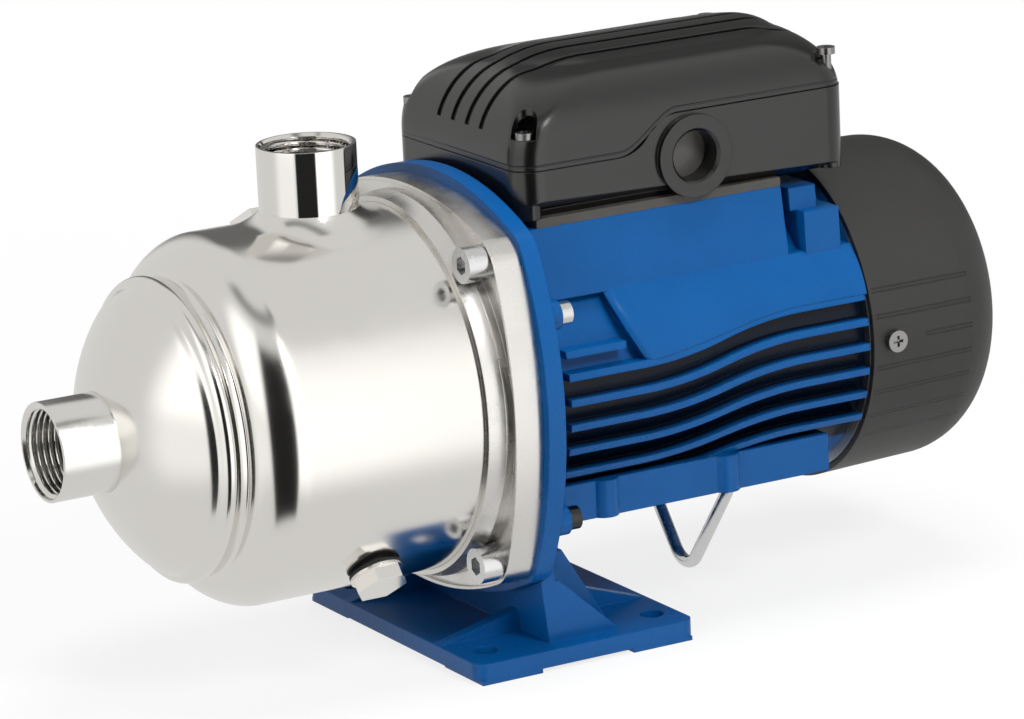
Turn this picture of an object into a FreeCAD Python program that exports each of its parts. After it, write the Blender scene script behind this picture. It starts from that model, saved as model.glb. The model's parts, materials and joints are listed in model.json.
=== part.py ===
import FreeCAD, Part
import math
import os
import Sketcher

# Horizontal multistage pump with a close-coupled single-phase motor.
# X runs along the shaft from the suction port to the fan, Z is up, and the origin is the centre
# of the foot's bolt pattern on the ground. Lengths are in millimetres and angles in degrees.
# A size ending in _place is a distance from the origin along X, towards the suction port if the
# piece belongs to the hydraulic end and towards the fan if it belongs to the motor.
SIZES = {
    "axis_height": 96.3,
    "fit_gap": 0.05,
    "free_gap": 0.3,
    # Casing
    "casing_radius": 67.5,
    "casing_wall": 1.5,
    "dome_radius": 70.9,
    "dome_centre": 89.5,
    "bead_place": 136.5,
    "bead_width": 6.0,
    "bead_round": 3.4,
    "step_radius": 54.0,
    "shoulder_round": 16.0,
    "shoulder_place": 111.0,
    # Ports
    "port_radius": 18.0,
    "thread_radius": 15.15,
    "thread_mouth": 1.5,
    "suction_place": 180.0,
    "suction_length": 27.0,
    "discharge_place": 70.0,
    "discharge_height": 94.6,
    "collar_foot": 23.5,
    "collar_height": 4.0,
    # Plugs
    "plug_place": 74.5,
    "fill_place": 68.0,
    "plug_tilt": 50.0,
    "plug_radius": 6.6,
    "plug_depth": 9.0,
    "plug_flats": 17.0,
    "plug_head": 5.2,
    "plug_flange": 1.0,
    "plug_boss": 9.8,
    "plug_boss_height": 0.8,
    "plug_seal": 1.2,
    # Casing flange
    "flange_front": 31.8,
    "flange_rear": 20.5,
    "flange_side": 74.3,
    "flange_corner": 85.2,
    "corner_round": 13.0,
    "flange_rim": 2.6,
    "flange_recess": 1.4,
    "seam_place": 40.0,
    "seam_step": 2.0,
    "neck_place": 33.6,
    "neck_radius": 71.0,
    "neck_round": 9.0,
    "bolt_circle": 77.8,
    # Seal plate and shaft seal
    "plate_radius": 70.8,
    "plate_thickness": 3.0,
    "ring_section": 1.2,
    "ring_squeeze": 0.8,
    "seat_radius": 13.0,
    "seat_length": 7.5,
    "seat_bore": 7.2,
    "holder_wall": 2.5,
    "head_length": 5.0,
    "spring_wire": 1.2,
    "spring_length": 6.0,
    "slinger_radius": 11.0,
    "slinger_width": 2.5,
    # Stages
    "stage_front": 118.0,
    "stage_pitch": 20.0,
    "stage_radius": 58.0,
    "sheet": 1.5,
    "impeller_radius": 47.0,
    "impeller_width": 8.0,
    "eye_radius": 16.0,
    "hub_radius": 9.5,
    "blade": 1.4,
    "vane_height": 4.5,
    "blade_round": 34.0,
    # Shaft
    "pump_shaft_radius": 6.0,
    "shaft_nose": 127.0,
    "nut_flats": 17.0,
    "nut_height": 6.0,
    "rotor_seat": 10.0,
    "fan_seat": 6.5,
    "shaft_tail": 160.0,
    # Bearings
    "front_bore": 8.5,
    "front_outside": 20.0,
    "front_width": 12.0,
    "front_ball": 3.4,
    "rear_bore": 7.5,
    "rear_outside": 17.5,
    "rear_width": 11.0,
    "rear_ball": 3.0,
    "race_wall": 2.6,
    "wave_washer": 1.0,
    # Adapter and housing
    "adapter_thickness": 7.0,
    "adapter_side": 78.0,
    "adapter_corner": 87.2,
    "hub_wall": 7.0,
    "bearing_place": 8.0,
    "housing_rear": 126.6,
    "barrel_radius": 56.5,
    "stator_radius": 50.0,
    "stator_place": 25.0,
    "stator_length": 70.0,
    "air_gap": 0.4,
    "rotor_radius": 28.7,
    "winding_reach": 13.0,
    "fin_radius": 62.5,
    "fin_place": 2.0,
    "fin_top": 10.2,
    "fin_pitch": 9.3,
    "fin_thickness": 2.6,
    "fin_rise": 9.0,
    "wave_start": 28.0,
    "wave_length": 70.0,
    "pad_height": 60.7,
    "pad_half": 45.0,
    "pad_rear": 99.6,
    "panel_half": 49.5,
    "panel_foot": 34.7,
    "lug_a_front": 103.5,
    "lug_a_rear": 115.0,
    "lug_a_half": 45.0,
    "lug_a_top": 58.9,
    "lug_b_front": 106.5,
    "lug_b_rear": 121.5,
    "lug_b_half": 49.5,
    "lug_b_top": 50.6,
    "lug_b_foot": 30.5,
    "short_rib_top": 18.3,
    "short_rib_end": 23.0,
    "skirt_half": 54.0,
    "skirt_wall": 3.0,
    "skirt_top": 33.0,
    "skirt_foot": 46.8,
    "skirt_rear": 111.0,
    "boss_round": 5.5,
    "boss_first": 16.0,
    "boss_second": 67.5,
    "lug_half": 65.2,
    "lug_upper": 34.3,
    "lug_lower": 41.0,
    "lug_round": 5.5,
    "lug_depth": 5.0,
    # Rear shield, fan and cover
    "shield_radius": 60.2,
    "shield_rim": 6.0,
    "shield_web": 4.0,
    "spigot": 8.0,
    "cover_radius": 62.5,
    "cover_tail_radius": 61.2,
    "cover_wall": 2.0,
    "cover_round": 25.0,
    "cover_round_depth": 23.3,
    "cover_reach": 192.3,
    "slot_inner": 12.0,
    "slot_outer": 33.0,
    "grille_slot": 3.0,
    "cover_screw_place": 136.0,
    "fan_radius": 50.0,
    "fan_place": 139.0,
    "fan_depth": 20.0,
    "fan_wall": 2.0,
    # Fasteners
    "bolt_head": 6.5,
    "bolt_head_height": 8.0,
    "bolt_radius": 4.0,
    "bolt_socket": 6.0,
    "lock_washer": 1.6,
    "small_head": 4.25,
    "small_head_height": 5.0,
    "small_radius": 2.5,
    "cover_screw_head": 4.1,
    "cover_screw_radius": 2.0,
    # Foot
    "foot_front": 46.4,
    "foot_rear": 44.4,
    "foot_half": 65.0,
    "foot_thickness": 6.15,
    "foot_pad": 1.6,
    "foot_pad_length": 28.0,
    "foot_corner": 5.0,
    "foot_hole": 4.5,
    "foot_hole_x": 34.8,
    "foot_hole_y": 50.0,
    "pedestal_half": 57.0,
    "pedestal_wall": 6.0,
    "pedestal_place": 15.4,
    "pedestal_lean": 3.2,
    "pedestal_top": 36.5,
    "gusset_reach": 16.8,
    "gusset_height": 30.4,
    "web_y": 38.5,
    "web_reach": 20.6,
    "web_head": 3.4,
    "web_height": 36.0,
    "web_shoulder": 19.1,
    "front_rib_y": 34.0,
    "front_rib_rise": 8.5,
    "rear_rib_y": 28.0,
    "rear_rib_knee": 21.3,
    "rear_rib_rise": 7.4,
    "rear_rib_height": 28.0,
    "rib_wall": 5.0,
    "foot_screw_y": 18.0,
    "foot_screw_height": 30.0,
    # Wire stand
    "wire_radius": 2.4,
    "wire_place": 80.7,
    "wire_lift": 5.0,
    "wire_bend": 9.0,
    "wire_slope": 52.0,
    "wire_half": 31.5,
    "wire_knee": 8.0,
    "wire_top": 52.0,
    "wire_boss": 5.5,
    "wire_boss_foot": 44.0,
    # Terminal box
    "box_front": 10.0,
    "box_rear": 129.6,
    "box_half": 47.0,
    "box_top": 212.5,
    "box_seat": 160.3,
    "box_wall": 2.5,
    "box_corner": 10.0,
    "crown_drop": 4.0,
    "side_round": 17.0,
    "nose_round": 28.0,
    "tail_round": 13.0,
    "parting_low": 178.0,
    "parting_high": 191.0,
    "parting_start": 31.0,
    "parting_end": 56.0,
    "box_edge_front": 8.0,
    "box_edge_rear": 3.0,
    "box_undercut": 7.0,
    "flute_depth": 1.4,
    "flute_width": 3.0,
    "flute_pitch": 10.2,
    "flute_first": 12.0,
    "seat_thickness": 3.0,
    "entry_place": 62.0,
    "entry_height": 174.5,
    "entry_boss": 15.2,
    "entry_radius": 9.2,
    "entry_mouth": 1.0,
    "entry_proud": 2.0,
    "entry_depth": 9.3,
    "entry_reach": 11.0,
    "blank_lip": 1.0,
    "blank_thickness": 1.5,
    "fixing_reach": 6.0,
    "capacitor_radius": 15.0,
    "capacitor_length": 62.0,
    "lid_screw_head": 3.4,
    "lid_screw_inset": 6.0,
    "lid_pocket": 4.8,
    "lid_seat": 11.2,
    "lid_notch": 3.6,
    "terminal_length": 40.0,
    "terminal_width": 22.0,
    "terminal_height": 12.0,
}

STAGES = 4
FINS = 6
IMPELLER_BLADES = 6
GRILLE_SLOTS = 20
FAN_BLADES = 7
BALLS = 8
QUARTER = 90.0
HALF = 180.0
FULL = 360.0


class Size:
    """A number together with the sheet expression that gives it."""

    def __init__(self, number, text):
        self.number = number
        self.text = text

    def __add__(self, other):
        return joined(self, "+", other)

    def __radd__(self, other):
        return joined(other, "+", self)

    def __sub__(self, other):
        return joined(self, "-", other)

    def __rsub__(self, other):
        return joined(other, "-", self)

    def __mul__(self, other):
        return joined(self, "*", other)

    def __rmul__(self, other):
        return joined(other, "*", self)

    def __truediv__(self, other):
        return joined(self, "/", other)

    def __neg__(self):
        return joined(0.0, "-", self)


def number_of(value):
    return value.number if isinstance(value, Size) else float(value)


def text_of(value):
    return value.text if isinstance(value, Size) else "(%r)" % float(value)


def joined(left, sign, right):
    """Combine two values and keep the expression beside the number."""
    first = number_of(left)
    second = number_of(right)
    results = {"+": first + second, "-": first - second, "*": first * second}
    number = first / second if sign == "/" else results[sign]
    return Size(number, "(%s %s %s)" % (text_of(left), sign, text_of(right)))


def root(value):
    return Size(math.sqrt(number_of(value)), "sqrt(%s)" % text_of(value))


def sine(angle):
    return Size(math.sin(math.radians(number_of(angle))), "sin(%s)" % text_of(angle))


def cosine(angle):
    return Size(math.cos(math.radians(number_of(angle))), "cos(%s)" % text_of(angle))


def reach(radius, across):
    """How far a circle of this radius still reaches at this distance across its centre."""
    return root(radius * radius - across * across)


class Sizes:
    """The driving dimensions, one attribute for each alias of the sheet."""


doc = FreeCAD.newDocument("pump")
sheet = doc.addObject("Spreadsheet::Sheet", "Sizes")
S = Sizes()
for row, (alias, value) in enumerate(SIZES.items(), start=1):
    sheet.set("A%d" % row, alias)
    sheet.set("B%d" % row, str(value))
    sheet.setAlias("B%d" % row, alias)
    setattr(S, alias, Size(float(value), "Sizes." + alias))
doc.recompute()

ALONG_X = FreeCAD.Rotation(FreeCAD.Vector(0, 1, 0), QUARTER)
subparts = []


# Helpers that bind objects to the sheet

def bind(item, name, size):
    item.setExpression(name, text_of(size))


def place(item, x=0, y=0, z=0):
    """Tie an item's place to the sheet."""
    for axis, size in (("x", x), ("y", y), ("z", z)):
        bind(item, "Placement.Base." + axis, size)
    return item


def turn(item, axis, angle):
    """Turn an item about one axis by an angle that is tied to the sheet."""
    item.Placement = FreeCAD.Placement(FreeCAD.Vector(), FreeCAD.Rotation(axis, number_of(angle)))
    item.setExpression("Placement.Rotation.Angle", text_of(angle) + " * 1 deg")
    return item


def keep(item, label):
    """Name a finished item as a sub-part."""
    item.Label = label
    subparts.append(item)
    return item


def new_body(name):
    return doc.addObject("PartDesign::Body", name + "_body")


def on_axis(body, label):
    """Put a body that was drawn about the shaft axis at the axis height and name it."""
    place(body, z=S.axis_height)
    return keep(body, label)


def origin_item(body, role):
    return [item for item in body.Origin.OriginFeatures if item.Role == role][0]


def arc_between(start, end, radius):
    """The shorter arc from start to end. It turns left on the way if the radius is positive."""
    chord = end.sub(start)
    rise = math.sqrt(max(radius * radius - chord.Length ** 2 / 4, 0.0))
    left = FreeCAD.Vector(-chord.y, chord.x, 0).normalize()
    centre = (start + end) * 0.5 + left * math.copysign(rise, radius)
    first, last = (start, end) if radius > 0 else (end, start)
    angles = [math.atan2(p.y - centre.y, p.x - centre.x) for p in (first, last)]
    circle = Part.Circle(centre, FreeCAD.Vector(0, 0, 1), abs(radius))
    return Part.ArcOfCircle(circle, angles[0], angles[1])


def fix(sketch, kind, places, size):
    """Add one driving constraint and tie it to the sheet."""
    index = sketch.addConstraint(Sketcher.Constraint(kind, *places, number_of(size)))
    sketch.setExpression("Constraints[%d]" % index, text_of(size))


def draw(sketch, corners):
    """Draw a closed outline. A corner is (across, up), and (across, up, radius) where an arc follows."""
    count = len(corners)
    first = sketch.GeometryCount
    ends = []
    for index, corner in enumerate(corners):
        following = corners[(index + 1) % count]
        start = FreeCAD.Vector(number_of(corner[0]), number_of(corner[1]), 0)
        end = FreeCAD.Vector(number_of(following[0]), number_of(following[1]), 0)
        if len(corner) == 2:
            sketch.addGeometry(Part.LineSegment(start, end))
            ends.append((1, 2))
        else:
            radius = number_of(corner[2])
            sketch.addGeometry(arc_between(start, end, radius))
            ends.append((1, 2) if radius > 0 else (2, 1))
    for index, corner in enumerate(corners):
        here = first + index
        after = (index + 1) % count
        meeting = Sketcher.Constraint("Coincident", here, ends[index][1], first + after, ends[after][0])
        sketch.addConstraint(meeting)
        fix(sketch, "DistanceX", (-1, 1, here, ends[index][0]), corner[0])
        fix(sketch, "DistanceY", (-1, 1, here, ends[index][0]), corner[1])
        if len(corner) == 3:
            radius = corner[2] if number_of(corner[2]) > 0 else -corner[2]
            fix(sketch, "Radius", (here,), radius)


def draw_circle(sketch, across, up, radius):
    centre = FreeCAD.Vector(number_of(across), number_of(up), 0)
    index = sketch.addGeometry(Part.Circle(centre, FreeCAD.Vector(0, 0, 1), number_of(radius)))
    fix(sketch, "DistanceX", (-1, 1, index, 3), across)
    fix(sketch, "DistanceY", (-1, 1, index, 3), up)
    fix(sketch, "Radius", (index,), radius)


def sketch_on(body, plane, outlines=(), circles=(), offset=0):
    """A sketch on one of the body's own planes, moved along the plane's normal by the offset."""
    sketch = body.newObject("Sketcher::SketchObject", "Sketch")
    sketch.AttachmentSupport = (origin_item(body, plane), [""])
    sketch.MapMode = "FlatFace"
    bind(sketch, "AttachmentOffset.Base.z", offset)
    for corners in outlines:
        draw(sketch, corners)
    for across, up, radius in circles:
        draw_circle(sketch, across, up, radius)
    return sketch


def extrude(body, kind, plane, length, outlines=(), circles=(), offset=0, back=False, both=False):
    """Pad or pocket a sketch. Back turns it to the other side of the plane, both does both sides."""
    feature = body.newObject("PartDesign::" + kind, kind)
    feature.Profile = sketch_on(body, plane, outlines, circles, offset)
    bind(feature, "Length", length)
    feature.Reversed = back
    if both:
        feature.SideType = "Symmetric"
    return feature


def revolve(body, corners, kind="Revolution", axis="H_Axis"):
    """Turn a half outline about the X axis of its sketch, or about the upright one."""
    feature = body.newObject("PartDesign::" + kind, kind)
    sketch = sketch_on(body, "XZ_Plane", [corners])
    feature.Profile = sketch
    feature.ReferenceAxis = (sketch, [axis])
    feature.Angle = FULL
    return feature


def repeat(body, features, count, axis="X_Axis"):
    """Repeat features round an axis of the body."""
    pattern = body.newObject("PartDesign::PolarPattern", "Pattern")
    pattern.Originals = features
    pattern.Axis = (origin_item(body, axis), [""])
    pattern.Angle = FULL
    pattern.Occurrences = count
    body.Tip = pattern
    return pattern


def turned(label, *outlines):
    """A sub-part turned about the shaft axis, from one or more half outlines."""
    body = new_body(label)
    for corners in outlines:
        revolve(body, corners)
    return on_axis(body, label)


def ring(start, end, inner, outer):
    """The half outline of a plain ring."""
    return [(start, inner), (end, inner), (end, outer), (start, outer)]


def rounded_square(side, corner, radius):
    """A square with bulged sides. It reaches side at mid side and corner on its diagonals."""
    centre = (corner - radius) / root(Size(2.0, "(2.0)"))
    inset = centre - side
    side_round = (radius * radius - inset * inset - centre * centre) / (2 * (inset + radius))
    side_centre = side - side_round
    span = side_round - radius
    near = side_centre + side_round * (centre - side_centre) / span
    far = side_round * centre / span
    return [(near, -far, side_round), (near, far, radius), (far, near, side_round), (-far, near, radius),
            (-near, far, side_round), (-near, -far, radius), (-far, -near, side_round), (far, -near, radius)]


def stadium(half, up, radius):
    """A flat oval across the shaft axis: half is where its end rounds are centred."""
    return [(-half, up - radius), (half, up - radius, radius), (half + radius, up, radius),
            (half, up + radius), (-half, up + radius, radius), (-half - radius, up, radius)]


def compound(label, items):
    """Keep several separate solids as one sub-part."""
    gathered = doc.addObject("Part::Compound", label + "_set")
    gathered.Links = items
    return keep(gathered, label)


def copy_of(item, axis, angle, x=0, y=0, z=0):
    """A linked copy of an item, turned about an axis and moved."""
    link = doc.addObject("App::Link", "Copy")
    link.LinkedObject = item
    link.LinkTransform = False
    turn(link, axis, angle)
    return place(link, x, y, z)


X_WAY = FreeCAD.Vector(1, 0, 0)
Y_WAY = FreeCAD.Vector(0, 1, 0)
Z_WAY = FreeCAD.Vector(0, 0, 1)


# Casing and ports

def pump_casing():
    """Drawn shell: spherical dome, bead, step, round shoulder and cylinder, with its welded bosses."""
    body = new_body("pump_casing")
    hole = S.port_radius + S.fit_gap
    bead_radius = reach(S.dome_radius, S.bead_place - S.dome_centre)
    bead_end = S.bead_place - S.bead_width
    shoulder_centre = S.casing_radius - S.shoulder_round
    step_place = S.shoulder_place + reach(S.shoulder_round, S.step_radius - shoulder_centre)
    inner = S.casing_radius - S.casing_wall
    inner_dome = S.dome_radius - S.casing_wall
    inner_step = S.step_radius - S.casing_wall
    inner_shoulder = S.shoulder_round - S.casing_wall
    inner_step_place = S.shoulder_place + reach(inner_shoulder, inner_step - shoulder_centre)
    rear = -casing_end()
    revolve(body, [
        (-S.dome_centre - reach(S.dome_radius, hole), hole, -S.dome_radius),
        (-S.bead_place, bead_radius, -S.bead_round),
        (-bead_end, S.step_radius),
        (-step_place, S.step_radius, -S.shoulder_round),
        (-S.shoulder_place, S.casing_radius),
        (rear, S.casing_radius),
        (rear, inner),
        (-S.shoulder_place, inner, inner_shoulder),
        (-inner_step_place, inner_step),
        (-S.dome_centre - reach(inner_dome, inner_step), inner_step, inner_dome),
        (-S.dome_centre - reach(inner_dome, hole), hole)])
    add_port_collar(body, inner, hole)
    for side in (1, -1):
        add_plug_boss(body, side, inner)
    return on_axis(body, "pump_casing")


def casing_end():
    """Where the casing presses on the O-ring, in front of the seal plate."""
    return S.flange_rear + S.plate_thickness + S.ring_squeeze


def add_port_collar(body, inner, hole):
    """The low flare that is drawn up round the discharge port, and the port's hole."""
    collar = body.newObject("PartDesign::AdditiveCone", "Collar")
    bind(collar, "Radius1", S.collar_foot)
    bind(collar, "Radius2", S.port_radius + S.fit_gap + S.casing_wall / 2)
    base = reach(inner, S.collar_foot)
    bind(collar, "Height", S.casing_radius + S.collar_height - base)
    place(collar, x=-S.discharge_place, z=base)
    extrude(body, "Pocket", "XY_Plane", S.discharge_height, circles=[(-S.discharge_place, 0, hole)], back=True)


def add_plug_boss(body, side, inner):
    """A welded boss with the plug's bore. Side is 1 for the drain and -1 for the fill plug."""
    start = reach(inner, S.plug_boss)
    angle = plug_angle(side)
    for kind, radius, bottom, top in (
            ("AdditiveCylinder", S.plug_boss, start, S.casing_radius + S.plug_boss_height),
            ("SubtractiveCylinder", S.plug_radius + 2 * S.fit_gap, start - S.plug_boss, S.casing_radius + S.plug_boss)):
        cylinder = body.newObject("PartDesign::" + kind, kind)
        bind(cylinder, "Radius", radius)
        bind(cylinder, "Height", top - bottom)
        turn(cylinder, X_WAY, angle)
        place(cylinder, -plug_across(side), -bottom * sine(angle), bottom * cosine(angle))


def plug_across(side):
    """The plug's distance along the casing: the fill plug sits a little nearer the flange."""
    return S.plug_place if side > 0 else S.fill_place


def plug_angle(side):
    """The turn about X that takes the upright to a plug's axis."""
    return QUARTER + S.plug_tilt if side > 0 else S.plug_tilt - QUARTER


def suction_port():
    """Welded sleeve with a female thread, shown as its minor diameter with a mouth chamfer."""
    rear = S.suction_place - S.suction_length
    mouth = S.thread_radius + S.thread_mouth
    return turned("suction_port", [
        (-S.suction_place, mouth), (-S.suction_place + S.thread_mouth, S.thread_radius),
        (-rear, S.thread_radius), (-rear, S.port_radius), (-S.suction_place, S.port_radius)])


def discharge_port():
    """Welded sleeve that stands on the casing, its foot cut to the casing's inner wall."""
    body = new_body("discharge_port")
    foot = S.casing_radius - 4 * S.casing_wall
    mouth = S.thread_radius + S.thread_mouth
    revolve(body, [
        (mouth, S.discharge_height), (S.thread_radius, S.discharge_height - S.thread_mouth),
        (S.thread_radius, foot), (S.port_radius, foot), (S.port_radius, S.discharge_height)], axis="V_Axis")
    inside = S.casing_radius - S.casing_wall
    extrude(body, "Pocket", "YZ_Plane", 3 * S.port_radius, circles=[(0, 0, inside)], both=True)
    place(body, x=-S.discharge_place, z=S.axis_height)
    return keep(body, "discharge_port")


def plug(label, side):
    """Hexagon plug with a round flange, turned to its boss."""
    body = new_body(label)
    seat = S.casing_radius + S.plug_boss_height + S.plug_seal
    revolve(body, [
        (0, seat - S.plug_seal - S.plug_depth), (S.plug_radius, seat - S.plug_seal - S.plug_depth),
        (S.plug_radius, seat), (S.plug_boss, seat), (S.plug_boss, seat + S.plug_flange),
        (0, seat + S.plug_flange)], axis="V_Axis")
    extrude(body, "Pad", "XY_Plane", S.plug_head, outlines=[hexagon(S.plug_flats)], offset=seat + S.plug_flange)
    turn(body, X_WAY, plug_angle(side))
    place(body, x=-plug_across(side), z=S.axis_height)
    return keep(body, label)


def hexagon(flats):
    """A hexagon by its width across flats."""
    half = flats / 2
    point = flats / root(Size(3.0, "(3.0)"))
    return [(point, 0), (point / 2, half), (-point / 2, half), (-point, 0), (-point / 2, -half), (point / 2, -half)]


def plug_washer(label, side):
    """Flat sealing ring between a boss and its plug."""
    body = new_body(label)
    seat = S.casing_radius + S.plug_boss_height
    bore = S.plug_radius + 2 * S.fit_gap
    revolve(body, [(bore, seat), (S.plug_boss, seat), (S.plug_boss, seat + S.plug_seal), (bore, seat + S.plug_seal)],
            axis="V_Axis")
    turn(body, X_WAY, plug_angle(side))
    place(body, x=-plug_across(side), z=S.axis_height)
    return keep(body, label)


# Flange, O-ring and seal plate

def recessed_face():
    """The face of the casing flange that the screws sit on."""
    return S.flange_front - S.flange_recess


def casing_flange():
    """Pressed ring flange with a raised rim, a flared collar on the casing and a rear counterbore."""
    body = new_body("casing_flange")
    bore = S.casing_radius + S.fit_gap
    outline = rounded_square(S.flange_side, S.flange_corner, S.corner_round)
    inset_corner = S.bolt_circle + S.bolt_head + S.free_gap / 2
    inset = rounded_square(S.flange_side - S.flange_rim / 2, inset_corner, S.corner_round)
    extrude(body, "Pad", "YZ_Plane", S.flange_front - S.flange_rear, [outline], offset=-S.flange_front)
    extrude(body, "Pocket", "YZ_Plane", S.flange_recess, [inset], offset=-S.flange_front, back=True)
    revolve(body, [
        (-S.seam_place, 0), (-S.seam_place, S.casing_radius + S.seam_step, S.neck_round * 2),
        (-S.neck_place, S.neck_radius), (-recessed_face(), S.neck_radius),
        (-S.flange_rear - S.plate_thickness, S.neck_radius), (-S.flange_rear - S.plate_thickness, 0)])
    revolve(body, [
        (-S.seam_place, 0), (-S.seam_place, bore), (-S.flange_rear - S.plate_thickness, bore),
        (-S.flange_rear - S.plate_thickness, S.plate_radius + S.fit_gap),
        (-S.flange_rear, S.plate_radius + S.fit_gap), (-S.flange_rear, 0)], "Groove")
    hole = extrude(body, "Pocket", "YZ_Plane", S.flange_front, circles=[bolt_place(S.bolt_radius + S.free_gap)],
                   offset=-S.flange_front, back=True)
    repeat(body, [hole], 4)
    return on_axis(body, "casing_flange")


def bolt_place(radius):
    """The circle of one flange screw on the diagonal."""
    offset = S.bolt_circle * cosine(QUARTER / 2)
    return (offset, offset, radius)


def casing_o_ring():
    """Round ring in the seal plate's groove, under the casing's rear edge."""
    item = doc.addObject("Part::Torus", "casing_o_ring_torus")
    bind(item, "Radius1", S.casing_radius - S.ring_section - S.fit_gap)
    bind(item, "Radius2", S.ring_section)
    item.Placement = FreeCAD.Placement(FreeCAD.Vector(), ALONG_X)
    place(item, x=-casing_end() + S.ring_section, z=S.axis_height)
    return keep(item, "casing_o_ring")


def seal_plate():
    """Stainless plate behind the last stage, with the O-ring groove and the seat's holder."""
    rear = -S.flange_rear
    front = rear - S.plate_thickness
    groove = S.casing_radius - S.ring_section - S.fit_gap
    floor = -casing_end() + 2 * S.ring_section
    holder = S.seat_radius + S.holder_wall
    return turned("seal_plate", [
        (rear, S.seat_radius - S.holder_wall), (rear, S.plate_radius), (front, S.plate_radius),
        (front, groove + S.ring_section), (floor, groove + S.ring_section),
        (floor, groove - S.ring_section), (front, groove - S.ring_section),
        (front, holder), (front - S.seat_length, holder), (front - S.seat_length, S.seat_radius + S.fit_gap),
        (front, S.seat_radius + S.fit_gap), (front, S.seat_radius - S.holder_wall)])


def seal_front():
    """The sealing face of the stationary seat."""
    return -S.flange_rear - S.plate_thickness - S.seat_length - S.free_gap


def seal_seat():
    """Stationary ring of the shaft seal."""
    front = seal_front()
    return turned("seal_seat", ring(front, front + S.seat_length, S.seat_bore, S.seat_radius))


def seal_head():
    """Rotating ring of the shaft seal, a light touch away from the seat."""
    rear = seal_front() - S.fit_gap
    front = rear - S.head_length
    bore = S.pump_shaft_radius
    return turned("seal_head", [
        (front, bore), (rear, bore), (rear, S.seat_radius - S.holder_wall), (front + S.sheet, S.seat_radius - S.holder_wall),
        (front + S.sheet, S.seat_radius), (front, S.seat_radius)])


def seal_spring():
    """Coil spring that presses the rotating ring on its seat."""
    body = new_body("seal_spring")
    rear = seal_front() - S.fit_gap - S.head_length
    middle = (S.pump_shaft_radius + S.seat_radius) / 2
    start = rear - S.spring_length + S.spring_wire / 2
    half = S.spring_wire / 2
    sketch = sketch_on(body, "XZ_Plane", [[
        (start - half, middle - half), (start + half, middle - half),
        (start + half, middle + half), (start - half, middle + half)]])
    helix = body.newObject("PartDesign::AdditiveHelix", "Helix")
    helix.Profile = sketch
    helix.ReferenceAxis = (sketch, ["H_Axis"])
    helix.Mode = "height-turns-angle"
    helix.Turns = 3
    bind(helix, "Height", S.spring_length - S.spring_wire - S.free_gap)
    return on_axis(body, "seal_spring")


# Stages

def stage_start(index):
    return -S.stage_front + index * S.stage_pitch


def inlet_plate():
    """Plate that parts the suction dome from the pressure side, with a neck round the first eye."""
    front = -S.stage_front - S.sheet
    inner_shoulder = S.shoulder_round - S.casing_wall
    centre = S.casing_radius - S.shoulder_round
    outer = centre + reach(inner_shoulder, S.stage_front + S.sheet - S.shoulder_place) - S.free_gap
    eye = S.eye_radius + S.free_gap
    return turned("inlet_plate", [
        (front - S.vane_height, eye), (-S.stage_front, eye), (-S.stage_front, outer), (front, outer),
        (front, eye + S.sheet), (front - S.vane_height, eye + S.sheet)])


def curved_blade(inner, outer, thickness, radius):
    """A thin blade that leaves the hub and leans back in one arc, in the plane across the shaft."""
    return [(inner, 0, radius), (outer * cosine(50), outer * sine(50)),
            ((outer - thickness) * cosine(54), (outer - thickness) * sine(54), -radius + thickness),
            (inner - thickness, thickness)]


def impeller(index):
    """Closed impeller: hub, back shroud, curved blades and front shroud with its eye."""
    label = "impeller_%d" % (index + 1)
    body = new_body(label)
    front = stage_start(index) + 2 * S.sheet
    rear = front + S.impeller_width
    bore = S.pump_shaft_radius
    revolve(body, [
        (front - S.sheet, bore), (rear + S.sheet, bore), (rear + S.sheet, S.hub_radius), (rear, S.hub_radius),
        (rear, S.impeller_radius), (rear - S.sheet, S.impeller_radius), (rear - 2 * S.sheet, S.hub_radius),
        (front - S.sheet, S.hub_radius)])
    blade = extrude(body, "Pad", "YZ_Plane", S.impeller_width - 1.5 * S.sheet,
                    [curved_blade(S.eye_radius, S.impeller_radius, S.blade, S.blade_round)],
                    offset=front + S.sheet / 2)
    repeat(body, [blade], IMPELLER_BLADES)
    shroud = revolve(body, [
        (front - 3 * S.sheet, S.eye_radius - S.sheet), (front + S.sheet, S.eye_radius - S.sheet),
        (front + S.sheet, S.impeller_radius), (front, S.impeller_radius), (front, S.eye_radius),
        (front - 3 * S.sheet, S.eye_radius)])
    body.Tip = shroud
    return on_axis(body, label)


def stage_body(index):
    """Stage body: shell, rear wall with the next eye, return vanes and the dividing disc."""
    label = "stage_%d" % (index + 1)
    body = new_body(label)
    start = stage_start(index)
    end = start + S.stage_pitch
    wall = S.stage_radius - S.sheet
    eye = S.eye_radius + S.free_gap
    hub = S.hub_radius + S.free_gap
    divider = end - 2 * S.sheet - S.vane_height
    revolve(body, [
        (start + S.fit_gap, wall), (end - S.sheet, wall), (end - S.sheet, eye), (end, eye),
        (end, S.stage_radius), (start + S.fit_gap, S.stage_radius)])
    vane = extrude(body, "Pad", "YZ_Plane", S.vane_height + S.sheet / 2,
                   [curved_blade(S.eye_radius + 2 * S.blade, wall - 2, S.blade, S.blade_round)],
                   offset=divider + S.sheet / 2)
    repeat(body, [vane], IMPELLER_BLADES)
    disc = revolve(body, ring(divider, divider + S.sheet, hub, wall - 4))
    body.Tip = disc
    return on_axis(body, label)


def impeller_spacers():
    """Sleeves on the shaft between the impeller hubs, and one up to the seal's spring."""
    items = []
    for index in range(STAGES):
        start = stage_start(index) + 3 * S.sheet + S.impeller_width
        end = stage_start(index + 1) + S.sheet
        if index == STAGES - 1:
            end = seal_front() - S.head_length - S.spring_length
        items.append(sleeve(start + S.fit_gap, end - S.fit_gap, S.pump_shaft_radius, S.hub_radius))
    return compound("impeller_spacers", items)


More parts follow.
